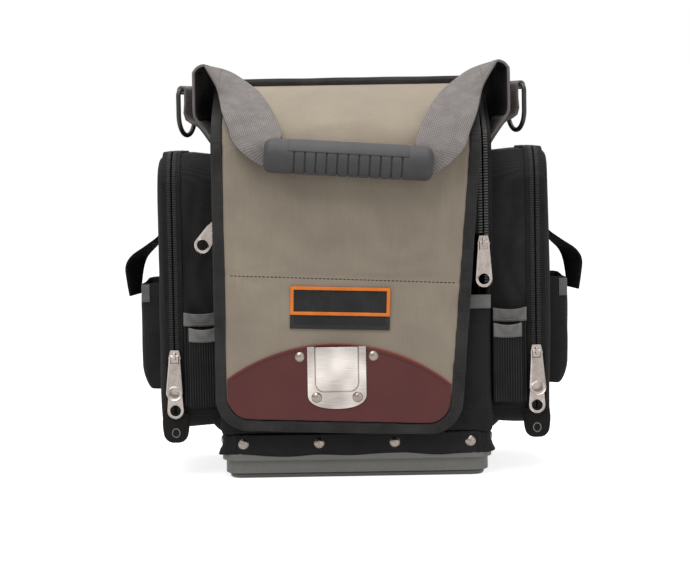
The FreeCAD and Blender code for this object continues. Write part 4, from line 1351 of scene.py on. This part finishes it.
    def clip_foot(self, spot: Vector, low: Vector, high: Vector) -> float:
        """Height of a point of the clip once its lower outline is one even curve.

        Args:
            spot: Point of the stamped sheet, in metres.
            low: Lowest corner of the clip's box.
            high: Highest corner of the clip's box.

        Returns:
            The point's new height, in metres.
        """
        height = (self.clip_sag + self.clip_round) * MM
        if spot.z > low.z + height - 0.01 * MM:
            return spot.z
        share = min(1.0, abs(spot.x - (low.x + high.x) / 2) / ((high.x - low.x) / 2))
        return low.z + height * (1 - (1 - share ** self.clip_power) ** (1 / self.clip_power))

    def build_label(self) -> None:
        """Bare woven label: an orange border round a plain black field, above a plain black strip."""
        label = eased_piece("label_patch", "woven_label", 0.3, 2, Body.FLAP, LABEL_BLACK, "label")
        low, high = (Vector(corner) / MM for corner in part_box("label_patch"))
        middle = Matrix.Translation((low + high) / 2 * MM)
        lean = middle @ Matrix.Rotation(self.label_lean, 4, "Y") @ middle.inverted()
        label.data.transform(lean)
        foot = low.z + self.label_strip
        frame = primitive("woven_label_border", bpy.ops.mesh.primitive_plane_add, size=1,
                          rotation=(math.pi / 2, 0, 0))
        place = Vector(((low.x + high.x) / 2, low.y - 0.1, (foot + high.z) / 2)) * MM
        frame.data.transform(Matrix.Translation(place)
                             @ Matrix.Diagonal(((high.x - low.x) * MM, 1, (high.z - foot) * MM, 1)))
        with editing(frame):
            bpy.ops.mesh.inset(thickness=self.label_border * MM)
            bpy.ops.mesh.delete(type="FACE")
        apply_modifier(frame, "SOLIDIFY", thickness=1.0 * MM, offset=0.0)
        apply_modifier(frame, "BEVEL", width=0.3 * MM, segments=2)
        smooth(frame, 40)
        frame.data.transform(lean)
        finish_piece(frame, Body.FLAP, LABEL_ORANGE, "label")

    def build_zip(self) -> None:
        """The flap's half of the front zips."""
        eased_piece("front_zip_flap_side", "flap_zip_tape", 0.5, 2, Body.FLAP, ZIP_TAPE, "zip_coil")
        end = [((117.6, -97.6, z), (1, 0, 0), 9.0) for z in (268.0, 250.0, self.tongue_low)]
        Strip("right_flap_tape_end", end, 1.6, steps=4, columns=4).lay(Body.FLAP, ZIP_TAPE, "zip_coil")
        for side, foot in ((Side.LEFT, self.coil_low), (Side.RIGHT, self.tongue_low)):
            line = HOOD.line(side.value * self.coil_across, FRONT_CHAIN_RADIUS, foot, self.coil_end)
            FRONT_TEETH.half(f"{side.word}_flap_coil", line, Body.FLAP)


# Course of a carrying strap: shares of its way across, forward and down, facing and share of its width
STRAP_COURSE = (
    (0.0, 0.0, 0.0, (0.0, 1.0, 0.0), 1.0), (0.245, 0.19, 0.15, (0.19, 0.94, 0.29), 1.0),
    (0.39, 0.32, 0.28, (0.44, 0.82, 0.36), 1.0), (0.563, 0.62, 0.459, (0.80, 0.49, 0.35), 0.94),
    (0.69, 0.80, 0.638, (0.965, 0.18, 0.19), 0.93), (0.764, 0.926, 0.791, (0.98, 0.0, 0.18), 0.93),
    (0.84, 0.984, 0.88, (0.93, 0.0, 0.36), 0.80), (1.0, 1.0, 1.0, (0.5, 0.0, 0.87), 0.52),
)
WEBBING_THICKNESS = 2.2
LINING_THICKNESS = 0.8
LINING_INSET = 2.5


@dataclass
class CarryHandle:
    """Ribbed grip and the two webbing straps that twist down to it."""

    start: Point = (139.6, -36.0, 394.5)
    grip_half: float = 69.5
    grip_middle: Point = (-4.0, -131.0, 303.0)
    tilt: float = math.radians(4)
    width: float = 50.0
    grip_radius: float = 16.0
    spine_length: float = 112.0
    spine_edge: float = math.radians(20)
    lining_offset: float = 1.9
    twist: Point = (139.0, 125.0, 74.0)

    def build(self) -> None:
        """Makes the handle's pieces."""
        eased_piece("grip", "ribbed_grip", 0.12, 1, Body.HANDLE, GRIP_RUBBER, "grip_rubber")
        self.build_spine()
        for side in Side:
            stations = self.stations(side)
            strap = Strip(f"{side.word}_carry_strap", stations, WEBBING_THICKNESS, steps=8, columns=12,
                          square=False).build()
            self.hang(strap, side, GREY_WEBBING, "webbing")
            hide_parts(f"{side.word}_strap")
            lining = Strip(f"{side.word}_strap_lining", stations, LINING_THICKNESS, steps=8, columns=12,
                           square=False, offset=self.lining_offset * side.value, inset=LINING_INSET).build()
            self.hang(lining, side, BLACK_NYLON, "black_nylon")

    def hang(self, piece: Piece, side: Side, finish: Finish, slot: str) -> None:
        """Dresses a strap, parts it where it lies on the flap and bakes each part in place.

        Args:
            piece: Strap or lining, which keeps the part near the grip.
            side: Its side.
            finish: Its finish.
            slot: Its material slot of the record.
        """
        root = add_object(f"{piece.name}_root", piece.data.copy())
        far, middle, near = self.twist
        for part, bodies, ends in ((root, (Body.BAG, Body.FLAP), (far, middle)),
                                   (piece, (Body.FLAP, Body.HANDLE), (middle, near))):
            with editing(part):
                bpy.ops.mesh.bisect(plane_co=(side.value * middle * MM, 0, 0), plane_no=(side.value, 0, 0),
                                    use_fill=True, clear_inner=part is root, clear_outer=part is piece)
            dress(part, finish, slot)
            first, last = ((side.value * across * MM, 0, 0) for across in ends)
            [body.value for body in bodies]
            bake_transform(part)
            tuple(first)
            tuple(last)
            LOG.info("%s twists between %s and %s", part.name, *(body.value for body in bodies))

    def build_spine(self) -> None:
        """Smooth rubber spine along the grip's top, which ends the ribs in a thin line."""
        spine = primitive("grip_spine", bpy.ops.mesh.primitive_cylinder_add, vertices=72,
                          radius=self.grip_radius * MM, depth=self.spine_length * MM, end_fill_type="NOTHING",
                          rotation=(0, math.pi / 2, 0))
        floor = self.grip_radius * math.sin(self.spine_edge) * MM
        with editing(spine):
            bpy.ops.mesh.bisect(plane_co=(0, 0, floor), plane_no=(0, 0, 1), clear_inner=True)
            bpy.ops.mesh.select_all(action="SELECT")
            bpy.ops.mesh.normals_make_consistent(inside=False)
        apply_modifier(spine, "SOLIDIFY", thickness=2.2 * MM, offset=-0.4)
        bevel(spine, 0.3, 2, 50)
        place = Matrix.Translation(Vector(self.grip_middle) * MM)
        spine.data.transform(place @ Matrix.Rotation(self.tilt, 4, "Y"))
        smooth(spine, 40)
        finish_piece(spine, Body.HANDLE, GRIP_RUBBER, "grip_rubber")

    def stations(self, side: Side) -> list[Station]:
        """Stations of one strap, from its arch to the grip's end.

        Args:
            side: Which strap.

        Returns:
            Middle, width direction and width at each station.
        """
        sign = side.value
        start = Vector((sign * self.start[0], self.start[1], self.start[2]))
        end = Vector((self.grip_middle[0] + sign * self.grip_half * math.cos(self.tilt), self.grip_middle[1],
                      self.grip_middle[2] - sign * self.grip_half * math.sin(self.tilt)))
        way = end - start
        stations = []
        for across, deep, down, facing, width in STRAP_COURSE:
            spot = start + Vector((way.x * across, way.y * deep, way.z * down))
            stations.append((tuple(spot), (-sign * facing[0], facing[1], facing[2]), self.width * width))
        return stations


# Rise of a strap anchor up to its arch: distance from the bag's middle and height
ANCHOR_RISE = ((130.4, 309.0), (130.4, 315), (133.4, 322.0), (146.2, 342.0), (148.5, 350), (148.5, 368),
               (148.5, 386))
# Backing of the arch: height, inner and outer edge; at the left its top clears the lifting flap's corner
BACKING_FOOT = ((322.0, 128.0, 134.0), (332.0, 127.0, 139.5), (342.0, 126.0, 144.0), (356.0, 125.0, 146.5))
BACKING_TOP = {
    Side.LEFT: ((364.0, 126.0, 146.5), (370.0, 131.3, 146.5), (386.0, 131.3, 146.0), (390.5, 132.5, 144.0)),
    Side.RIGHT: ((374.0, 125.0, 146.5), (386.0, 126.5, 146.0), (390.5, 130.0, 144.0)),
}
# Foot of a ring loop: distance from the bag's middle, height and share of its turn
LOOP_FOOT = ((133.6, 316.0, 0.0), (139.0, 325.0, 0.1), (146.5, 337.0, 0.5))


@dataclass
class StrapAnchor:
    """Webbing sewn to a side panel, its loop and the D-ring in it."""

    side: Side
    middle_y: float = -36.0
    width: float = 50.0
    arch_middle: tuple[float, float] = (140.0, 386.0)
    arch_radius: float = 8.5
    ring: Point = (159.5, -36.0, 371.0)
    yaw: float = math.radians(20)
    askew: float = 0.22
    backing_y: float = -14.0
    loop_width: float = 24.0
    loop_radius: float = 3.6
    lining_offset: float = 1.6

    def build(self) -> None:
        """Makes the anchor, the loop and the ring's finish."""
        word, sign = self.side.word, self.side.value
        path = list(ANCHOR_RISE)
        for step in range(1, 7):
            angle = math.radians(15 * step)
            path.append((self.arch_middle[0] + self.arch_radius * math.cos(angle),
                         self.arch_middle[1] + self.arch_radius * math.sin(angle)))
        stations = []
        for x, z in path:
            lean = self.askew * ramp(z, 318, 343) * ramp(z, 396.5, 386.5)
            middle = (sign * (x - 0.25 * lean * self.width), self.middle_y, z)
            stations.append((middle, (-sign * lean, 1, 0), self.width))
        Strip(f"{word}_anchor_webbing", stations, WEBBING_THICKNESS, steps=3, square=False).lay(
            Body.BAG, GREY_WEBBING, "webbing", [f"{word}_strap_anchor"])
        Strip(f"{word}_anchor_lining", stations[3:], LINING_THICKNESS, steps=3, square=False,
              offset=self.lining_offset * sign, inset=LINING_INSET).lay(Body.BAG, BLACK_NYLON, "black_nylon")
        self.build_backing()
        self.build_loop()
        dress(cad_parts[f"{word}_d_ring"], RING_BLACK)

    def build_backing(self) -> None:
        """Black cloth that closes the back of the arch between the side panel and the webbing."""
        sign = self.side.value
        edges = BACKING_FOOT + BACKING_TOP[self.side]
        stations = [((sign * (left + right) / 2, self.backing_y, z), (sign, 0, 0), right - left)
                    for z, left, right in edges]
        Strip(f"{self.side.word}_arch_backing", stations, 1.2, steps=4, columns=6).lay(
            Body.BAG, BLACK_NYLON, "black_nylon")

    def build_loop(self) -> None:
        """Webbing folded round the ring's bar."""
        sign = self.side.value
        path = [(-self.loop_radius, -26.0), (-self.loop_radius, -12.0), (-self.loop_radius, 0.0)]
        for step in range(1, 9):
            angle = math.pi - math.pi * 1.35 * step / 8
            path.append((self.loop_radius * math.cos(angle), self.loop_radius * math.sin(angle)))
        width_way = (-math.sin(self.yaw) * sign, math.cos(self.yaw), 0.0)
        stations = []
        for x, z, turn in LOOP_FOOT:
            stations.append(((sign * x, self.middle_y, z), (width_way[0] * turn, 1.0, 0.0), self.loop_width))
        for out, up in path:
            spot = (sign * (self.ring[0] + out * math.cos(self.yaw)),
                    self.ring[1] + out * math.sin(self.yaw), self.ring[2] + up)
            stations.append((spot, width_way, self.loop_width))
        Strip(f"{self.side.word}_ring_webbing", stations, 1.8, steps=3, columns=6).lay(
            Body.BAG, GREY_WEBBING, "webbing", [f"{self.side.word}_ring_loop"])


# Tail of a pocket zip: height, width and how far it stands forward
TAIL_SHAPE = ((62.0, 24.0, 0.0), (54.0, 25.6, 0.1), (46.0, 24.6, 0.3), (41.0, 22.4, 0.4), (37.4, 18.0, 0.5),
              (35.2, 12.5, 0.5))
# Webbing tab of a pouch: distance from the bag's middle, height and twist
TAB_SHAPE = ((188.9, 239.5, 0.0), (189.2, 230, 0.05), (199, 220, 0.22), (211, 210, 0.38), (216.2, 200, 0.42),
             (217, 186, 0.30), (216.6, 171, 0.18))
# Back, outer end and top of a sleeve
SHORT_SLEEVE = (87.0, 158.0, 146.0)
TALL_SLEEVE = (76.0, 163.5, 160.0)
# Stitch rows on the sleeves' edge tapes: sleeve, outer end, front face and height
TRIM_ROWS = (("tall", 163.0, -88.5, 148.8), ("short", 157.5, -99.5, 134.8))


@dataclass
class SidePocket:
    """Zipped side pocket with its cover, sleeves, pouch and tab."""

    side: Side
    zip_x: float = 173.0
    half_depth: float = 76.0
    low: float = 60.0
    core_low: float = 78.0
    spring: float = 278.0
    crown: float = 30.0
    arch_steps: int = 20
    coil_lift: float = 3.35
    coil_half: float = 2.6
    swell: float = 2.8
    tail_gap: float = 2.4
    loop_z: float = 43.5
    sleeve_x: float = 131.0
    stitch_x: float = 131.8
    sleeve_fold: float = 34.0
    sleeve_split: float = -88.7
    mouth_depth: float = 9.0
    mouth_out: float = 2.6
    mouth_drop: float = 2.0
    held_x: float = 178.0
    held_y: float = 49.0
    held_low: float = 78.0
    held_high: float = 246.0
    pouch_half: float = 47.0
    pouch_belly: float = 2.0
    pouch_hem: float = 3.0
    foot_share: float = 0.22
    foot_draw: float = 7.0
    edge_draw: float = 2.0
    mouth_sag: float = 2.5
    loop_radius: float = 3.6
    loop_wire: float = 1.0

    @property
    def cover_body(self) -> str:
        """Body of the pocket's cover."""
        return f"{self.side.word}_cover"

    @property
    def flat(self) -> float:
        """Half of the straight run over the pocket's top."""
        return self.half_depth - self.crown

    def arch(self, x: float) -> list[Vector]:
        """Line of the zip up the pocket's front, over its top and down its back.

        Args:
            x: Distance from the bag's middle.

        Returns:
            Points of the line.
        """
        out = self.half_depth + self.coil_lift
        radius = self.crown + self.coil_lift
        across = self.side.value * x
        steps = range(self.arch_steps + 1)
        points = [Vector((across, -out, self.low))]
        for sign, turns in ((-1, steps), (1, reversed(steps))):
            for step in turns:
                angle = math.pi / 2 * step / self.arch_steps
                points.append(Vector((across, sign * (self.flat + radius * math.cos(angle)),
                                      self.spring + radius * math.sin(angle))))
        points.append(Vector((across, out, self.low)))
        return points

    def build(self) -> None:
        """Makes the pocket's pieces."""
        word = self.side.word
        seed = 20.0 + self.side.value
        Cloth(1.5, 4, 1.4, 50, seed).piece(
            f"{word}_pocket_gusset", f"{word}_pocket_cloth", Body.BAG, BLACK_NYLON, "black_nylon",
            lambda gusset: self.flare(gusset, 132.0, 168.0))
        cover = copy_node(f"{word}_pocket_cover", f"{word}_padded_cover")
        remesh(cover, 2.8, 6)
        self.flare(cover, 187.0, 177.0)
        inflate(cover, 4.0, 4.5, self.sewn_down)
        wrinkle(cover, 1.2, 60, seed + 3, self.sewn_down)
        smooth_all(cover)
        finish_piece(cover, self.cover_body, BLACK_NYLON, "black_nylon", [f"{word}_pocket_cover"])
        eased_piece(f"{word}_pocket_zip_body", f"{word}_pocket_zip_tape", 0.5, 2, Body.BAG, ZIP_TAPE,
                    "zip_coil")
        self.build_tail()
        eased_piece(f"{word}_cover_zip", f"{word}_cover_zip_tape", 0.5, 2, self.cover_body, ZIP_TAPE,
                    "zip_coil")
        POCKET_COIL.half(f"{word}_pocket_coil", self.arch(self.zip_x - self.coil_half), Body.BAG)
        POCKET_COIL.half(f"{word}_cover_coil", self.arch(self.zip_x + self.coil_half), self.cover_body)
        self.build_sleeves()
        self.build_pouch()

    def flare(self, piece: Piece, start: float, end: float) -> None:
        """Swells a piece towards its zip, so that it meets the tape in a soft curve.

        Args:
            piece: Gusset or cover.
            start: Distance from the bag's middle where the swell begins.
            end: Distance where it is full.
        """
        for vertex in piece.data.vertices:
            spot = vertex.co / MM
            core = Vector((spot.x, max(-self.flat, min(self.flat, spot.y)),
                           max(self.core_low, min(self.spring, spot.z))))
            share = ramp(abs(spot.x), start, end)
            eased = share * share * (3 - 2 * share)
            away = spot - core
            reach = min(away.length + self.swell * eased, self.crown + self.swell)
            vertex.co = (core + away.normalized() * reach) * MM

    def sewn_down(self, spot: Vector) -> bool:
        """Whether a point of the cover is held by the zip, the pouch or the tab."""
        on_pouch = abs(spot.y) < self.held_y and self.held_low < spot.z < self.held_high
        return abs(spot.x) < self.held_x or on_pouch

    def build_tail(self) -> None:
        """Loose end of the zip's tape, folded into a soft rounded tongue with a small loop on it."""
        word, across = self.side.word, self.side.value * self.zip_x
        front = -self.half_depth - self.tail_gap
        stations = [((across, front - forward, z), (1, 0, 0), width) for z, width, forward in TAIL_SHAPE]
        Strip(f"{word}_tape_tail", stations, 3.6, steps=5, columns=10, crown=0.8).lay(
            Body.BAG, ZIP_TAPE, "zip_coil")
        loop = primitive(f"{word}_tail_loop", bpy.ops.mesh.primitive_torus_add,
                         major_radius=self.loop_radius * MM, minor_radius=self.loop_wire * MM,
                         major_segments=28, minor_segments=8, rotation=(math.pi / 2, 0, 0))
        place = Matrix.Translation(Vector((across, front - 3.0, self.loop_z)) * MM)
        loop.data.transform(place @ Matrix.Diagonal((1, 0.5, 1.15, 1)))
        smooth(loop, 60)
        finish_piece(loop, Body.BAG, GREY_THREAD, "zip_coil")

    def build_sleeves(self) -> None:
        """Tool sleeves and their grey edge tapes."""
        word = self.side.word
        for number, height in enumerate(("tall", "short")):
            Cloth(0.9, 4, 0.5, 22, 30.0 + number).piece(
                f"{word}_{height}_tool_sleeve", f"{word}_{height}_sleeve", Body.BAG, BLACK_ELASTIC,
                "black_nylon", self.slacken)
        Cloth(0.6, 3, 0.2, 15, 33.0).piece(f"{word}_sleeve_trim", f"{word}_sleeve_tape", Body.BAG, GREY_TAPE,
                                           "trim", self.slacken)
        for name, reach, front, height in TRIM_ROWS:
            run = [self.stitch_x + (reach - self.stitch_x) * step / 8 for step in range(9)]
            line = [self.sag(Vector((self.side.value * across, front, height))) for across in run]
            Stitching(f"{word}_{name}_trim_stitches", line, Vector((0, -1, 0)), Body.BAG, GREY_THREAD, "trim",
                      2.4, 3.6).build()

    def slacken(self, piece: Piece) -> None:
        """Lets the mouth of a sleeve or its tape sag open."""
        for vertex in piece.data.vertices:
            vertex.co = self.sag(vertex.co / MM) * MM

    def sag(self, spot: Vector) -> Vector:
        """Where a point of the flat sleeves goes once their mouths hang a little open.

        Args:
            spot: Point of a sleeve or its tape, in millimetres.

        Returns:
            The point of the slack sleeve.
        """
        back, reach, top = SHORT_SLEEVE if spot.y < self.sleeve_split else TALL_SLEEVE
        across = ramp(abs(spot.x), self.sleeve_x, reach)
        up = ramp(spot.z - top, -self.sleeve_fold, 0.0) ** 2
        share = math.sin(math.pi * across) * up * ramp(-spot.y - back, 0.0, self.mouth_depth)
        return spot + Vector((0, -self.mouth_out * share, -self.mouth_drop * share))

    def build_pouch(self) -> None:
        """Pouch on the cover and the webbing tab that closes over it."""
        word, sign = self.side.word, self.side.value
        Cloth(1.2, 14, 0.8, 30, 36.0).piece(f"{word}_pouch", f"{word}_pouch_cloth", self.cover_body,
                                            BLACK_NYLON, "black_nylon", self.fill_pouch)
        band = [((sign * x, -45.6, 175.5), (0, 0, 1), 17.0) for x in (198.5, 202.5, 206.5)]
        Strip(f"{word}_pouch_tape", band, 1.0, steps=3, columns=6).lay(self.cover_body, GREY_TAPE, "trim")
        stations = [((sign * x, 0, z), (-sign * twist, 1, 0), 38.0) for x, z, twist in TAB_SHAPE]
        Strip(f"{word}_pouch_tab", stations, WEBBING_THICKNESS, steps=5, square=False).lay(
            f"{word}_tab", BLACK_WEBBING, "webbing", [f"{word}_pouch_strap"])

    def fill_pouch(self, pouch: Piece) -> None:
        """Rounds the pouch out at its middle and draws its foot and its mouth in, as a full one hangs.

        Args:
            pouch: Pouch to move.
        """
        low, high = (Vector(corner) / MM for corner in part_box(f"{self.side.word}_pouch"))
        back = min(abs(low.x), abs(high.x))
        depth = abs(high.x - low.x)
        for vertex in pouch.data.vertices:
            spot = vertex.co / MM
            out = ramp(abs(spot.x) - back, 0.0, depth)
            up = ramp(spot.z, low.z, high.z)
            across = max(0.0, 1 - (spot.y / self.pouch_half) ** 2)
            foot = max(0.0, 1 - up / self.foot_share) ** 2
            reach = (self.pouch_belly * across * math.sin(math.pi * up) - self.foot_draw * foot
                     - self.edge_draw * (1 - across) - self.pouch_hem)
            vertex.co.x += self.side.value * out * reach * MM
            vertex.co.z -= out * self.mouth_sag * across * up * up * MM


@dataclass
class ZipHardware:
    """Nickel sliders and pulls."""

    names: tuple[str, ...] = ("right_front", "left_front", "right_pocket_upper", "right_pocket_lower",
                              "left_pocket_upper", "left_pocket_lower")
    lug_half: float = 3.0
    lug_share: float = 0.86
    rim: float = 1.0
    sink: float = 0.4

    def build(self) -> None:
        """Eases the edges of each slider and pull."""
        for name in self.names:
            slider = eased_piece(f"{name}_slider", f"{name}_cast_slider", 0.35, 2, f"{name}_runner", NICKEL,
                                 "zip_nickel")
            self.narrow_lug(slider)
            pull = self.rimmed_pull(name)
            finish_piece(pull, f"{name}_tab", NICKEL, "zip_nickel", [f"{name}_pull"])
            pull.data.materials.append(material_of(DARK_NICKEL))

    def narrow_lug(self, slider: Piece) -> None:
        """Takes a little off both flanks of the lug, so that the pull turns in it freely.

        Args:
            slider: Slider to move.
        """
        spots = [vertex.co / MM for vertex in slider.data.vertices]
        middle = (min(spot.x for spot in spots) + max(spot.x for spot in spots)) / 2
        plate = min(spot.y for spot in spots if abs(spot.x - middle) > self.lug_half)
        for vertex, spot in zip(slider.data.vertices, spots):
            if spot.y < plate - 0.02:
                vertex.co.x = (middle + self.lug_share * (spot.x - middle)) * MM

    def rimmed_pull(self, name: str) -> Piece:
        """A pull whose front face is pressed in inside a raised rim.

        Args:
            name: Zip that the pull belongs to.

        Returns:
            The pull.
        """
        pull = copy_node(f"{name}_pull", f"{name}_cast_pull")
        polygons = pull.data.polygons
        widest = max(polygons, key=lambda polygon: polygon.area * (1 if polygon.normal.y < 0 else 0.01))
        normal, level = widest.normal.copy(), widest.normal.dot(widest.center)
        for polygon in polygons:
            near = abs(polygon.center.dot(normal) - level) < 0.3 * MM
            polygon.select = near and polygon.normal.dot(normal) > 0.999
        bpy.context.tool_settings.mesh_select_mode = (False, False, True)
        with editing(pull, everything=False):
            bpy.ops.mesh.inset(thickness=self.rim * MM, depth=-self.sink * MM, use_even_offset=False)
        for polygon in pull.data.polygons:
            polygon.material_index = 1 if polygon.select else 0
        round_edges(pull, 0.22, 2)
        return pull


# Lamps: name, place in metres, size in metres and power in watts
LAMPS = (("key_light", (-0.7, -1.3, 2.2), 1.5, 28), ("fill_light", (1.5, -1.6, 1.0), 1.6, 7),
         ("top_light", (0.0, -0.1, 2.3), 1.8, 32))
WHITE: Colour = (1, 1, 1, 1)


@dataclass
class Studio:
    """Pale floor, soft lights and the camera at the photograph's viewing angle."""

    target: Point = (-8.9, -112.0, 189.0)
    lamp_target: Point = (0, 0, 0.2)
    distance: float = 2100.0
    elevation: float = math.radians(4.0)
    roll: float = math.radians(0.95)
    focal_px: float = 2234.0
    image_width: int = 690
    sensor: float = 36.0
    floor_grey: float = 0.6
    floor_glow: float = 0.8
    world_light: float = 0.42

    def build(self) -> None:
        """Makes the floor, the lights, the world and the camera."""
        self.build_floor()
        self.build_lights()
        self.build_world()
        self.build_camera()
        bpy.context.scene.view_settings.view_transform = "Standard"

    def seen_rays(self, tree: Tree) -> Socket:
        """One for rays that show the background: seen straight, mirrored or through glass.

        Args:
            tree: Node tree of the floor's material or the world.

        Returns:
            The node and output that carry it.
        """
        path = add_node(tree, "ShaderNodeLightPath")
        shown = math_node(tree, "MAXIMUM", (path, "Is Camera Ray"), (path, "Is Glossy Ray"))
        return math_node(tree, "MAXIMUM", shown, (path, "Is Transmission Ray"))

    def build_floor(self) -> None:
        """A wide floor that is white to the camera and pale to the light."""
        floor = primitive("studio_floor", bpy.ops.mesh.primitive_plane_add, size=30)
        material = bpy.data.materials.new("studio_floor_white")
        material.use_nodes = True
        tree = material.node_tree
        tree.nodes.clear()
        matte = add_node(tree, "ShaderNodeBsdfDiffuse", {"Color": (*(self.floor_grey,) * 3, 1)})
        glow = add_node(tree, "ShaderNodeEmission", {"Color": WHITE, "Strength": self.floor_glow})
        both = add_node(tree, "ShaderNodeAddShader", {0: (matte, 0), 1: (glow, 0)})
        mix = add_node(tree, "ShaderNodeMixShader", {0: self.seen_rays(tree), 1: (matte, 0), 2: (both, 0)})
        add_node(tree, "ShaderNodeOutputMaterial", {"Surface": (mix, 0)})
        floor.data.materials.append(material)

    def build_lights(self) -> None:
        """A large key from the upper left front, a fill and a light from above."""
        for name, spot, size, power in LAMPS:
            lamp = primitive(name, bpy.ops.object.light_add, type="AREA", location=spot)
            lamp.data.size = size
            lamp.data.energy = power
            aim = Vector(self.lamp_target) - Vector(spot)
            lamp.rotation_euler = aim.to_track_quat("-Z", "Y").to_euler()

    def build_world(self) -> None:
        """A world that is white to the camera and softer to the light."""
        world = bpy.data.worlds.new("studio_world")
        bpy.context.scene.world = world
        world.use_nodes = True
        tree = world.node_tree
        tree.nodes.clear()
        soft, white = (add_node(tree, "ShaderNodeBackground", {"Color": WHITE, "Strength": strength})
                       for strength in (self.world_light, 1.0))
        mix = add_node(tree, "ShaderNodeMixShader", {0: self.seen_rays(tree), 1: (soft, 0), 2: (white, 0)})
        add_node(tree, "ShaderNodeOutputWorld", {"Surface": (mix, 0)})

    def build_camera(self) -> None:
        """The camera, level with the bag's upper half and rolled a little."""
        data = bpy.data.cameras.new("photo_camera")
        camera = add_object("photo_camera", data)
        data.sensor_width = self.sensor
        data.lens = self.focal_px / self.image_width * self.sensor
        away = Vector((0, -math.cos(self.elevation), math.sin(self.elevation)))
        target = Vector(self.target) * MM
        camera.location = target + away * self.distance * MM
        turn = (-away).to_track_quat("-Z", "Y").to_matrix().to_4x4()
        camera.rotation_euler = (turn @ Matrix.Rotation(-self.roll, 4, "Z")).to_euler()
        bpy.context.scene.camera = camera


def main() -> None:
    """Builds the sub-assemblies in order."""
    logging.basicConfig(level=logging.INFO, format="%(message)s")
    MouldedBase().build()
    BodyShell().build()
    FrontFlap().build()
    CarryHandle().build()
    for side in Side:
        StrapAnchor(side).build()
        SidePocket(side).build()
    ZipHardware().build()
    Studio().build()


if __name__ == "__main__":
    main()
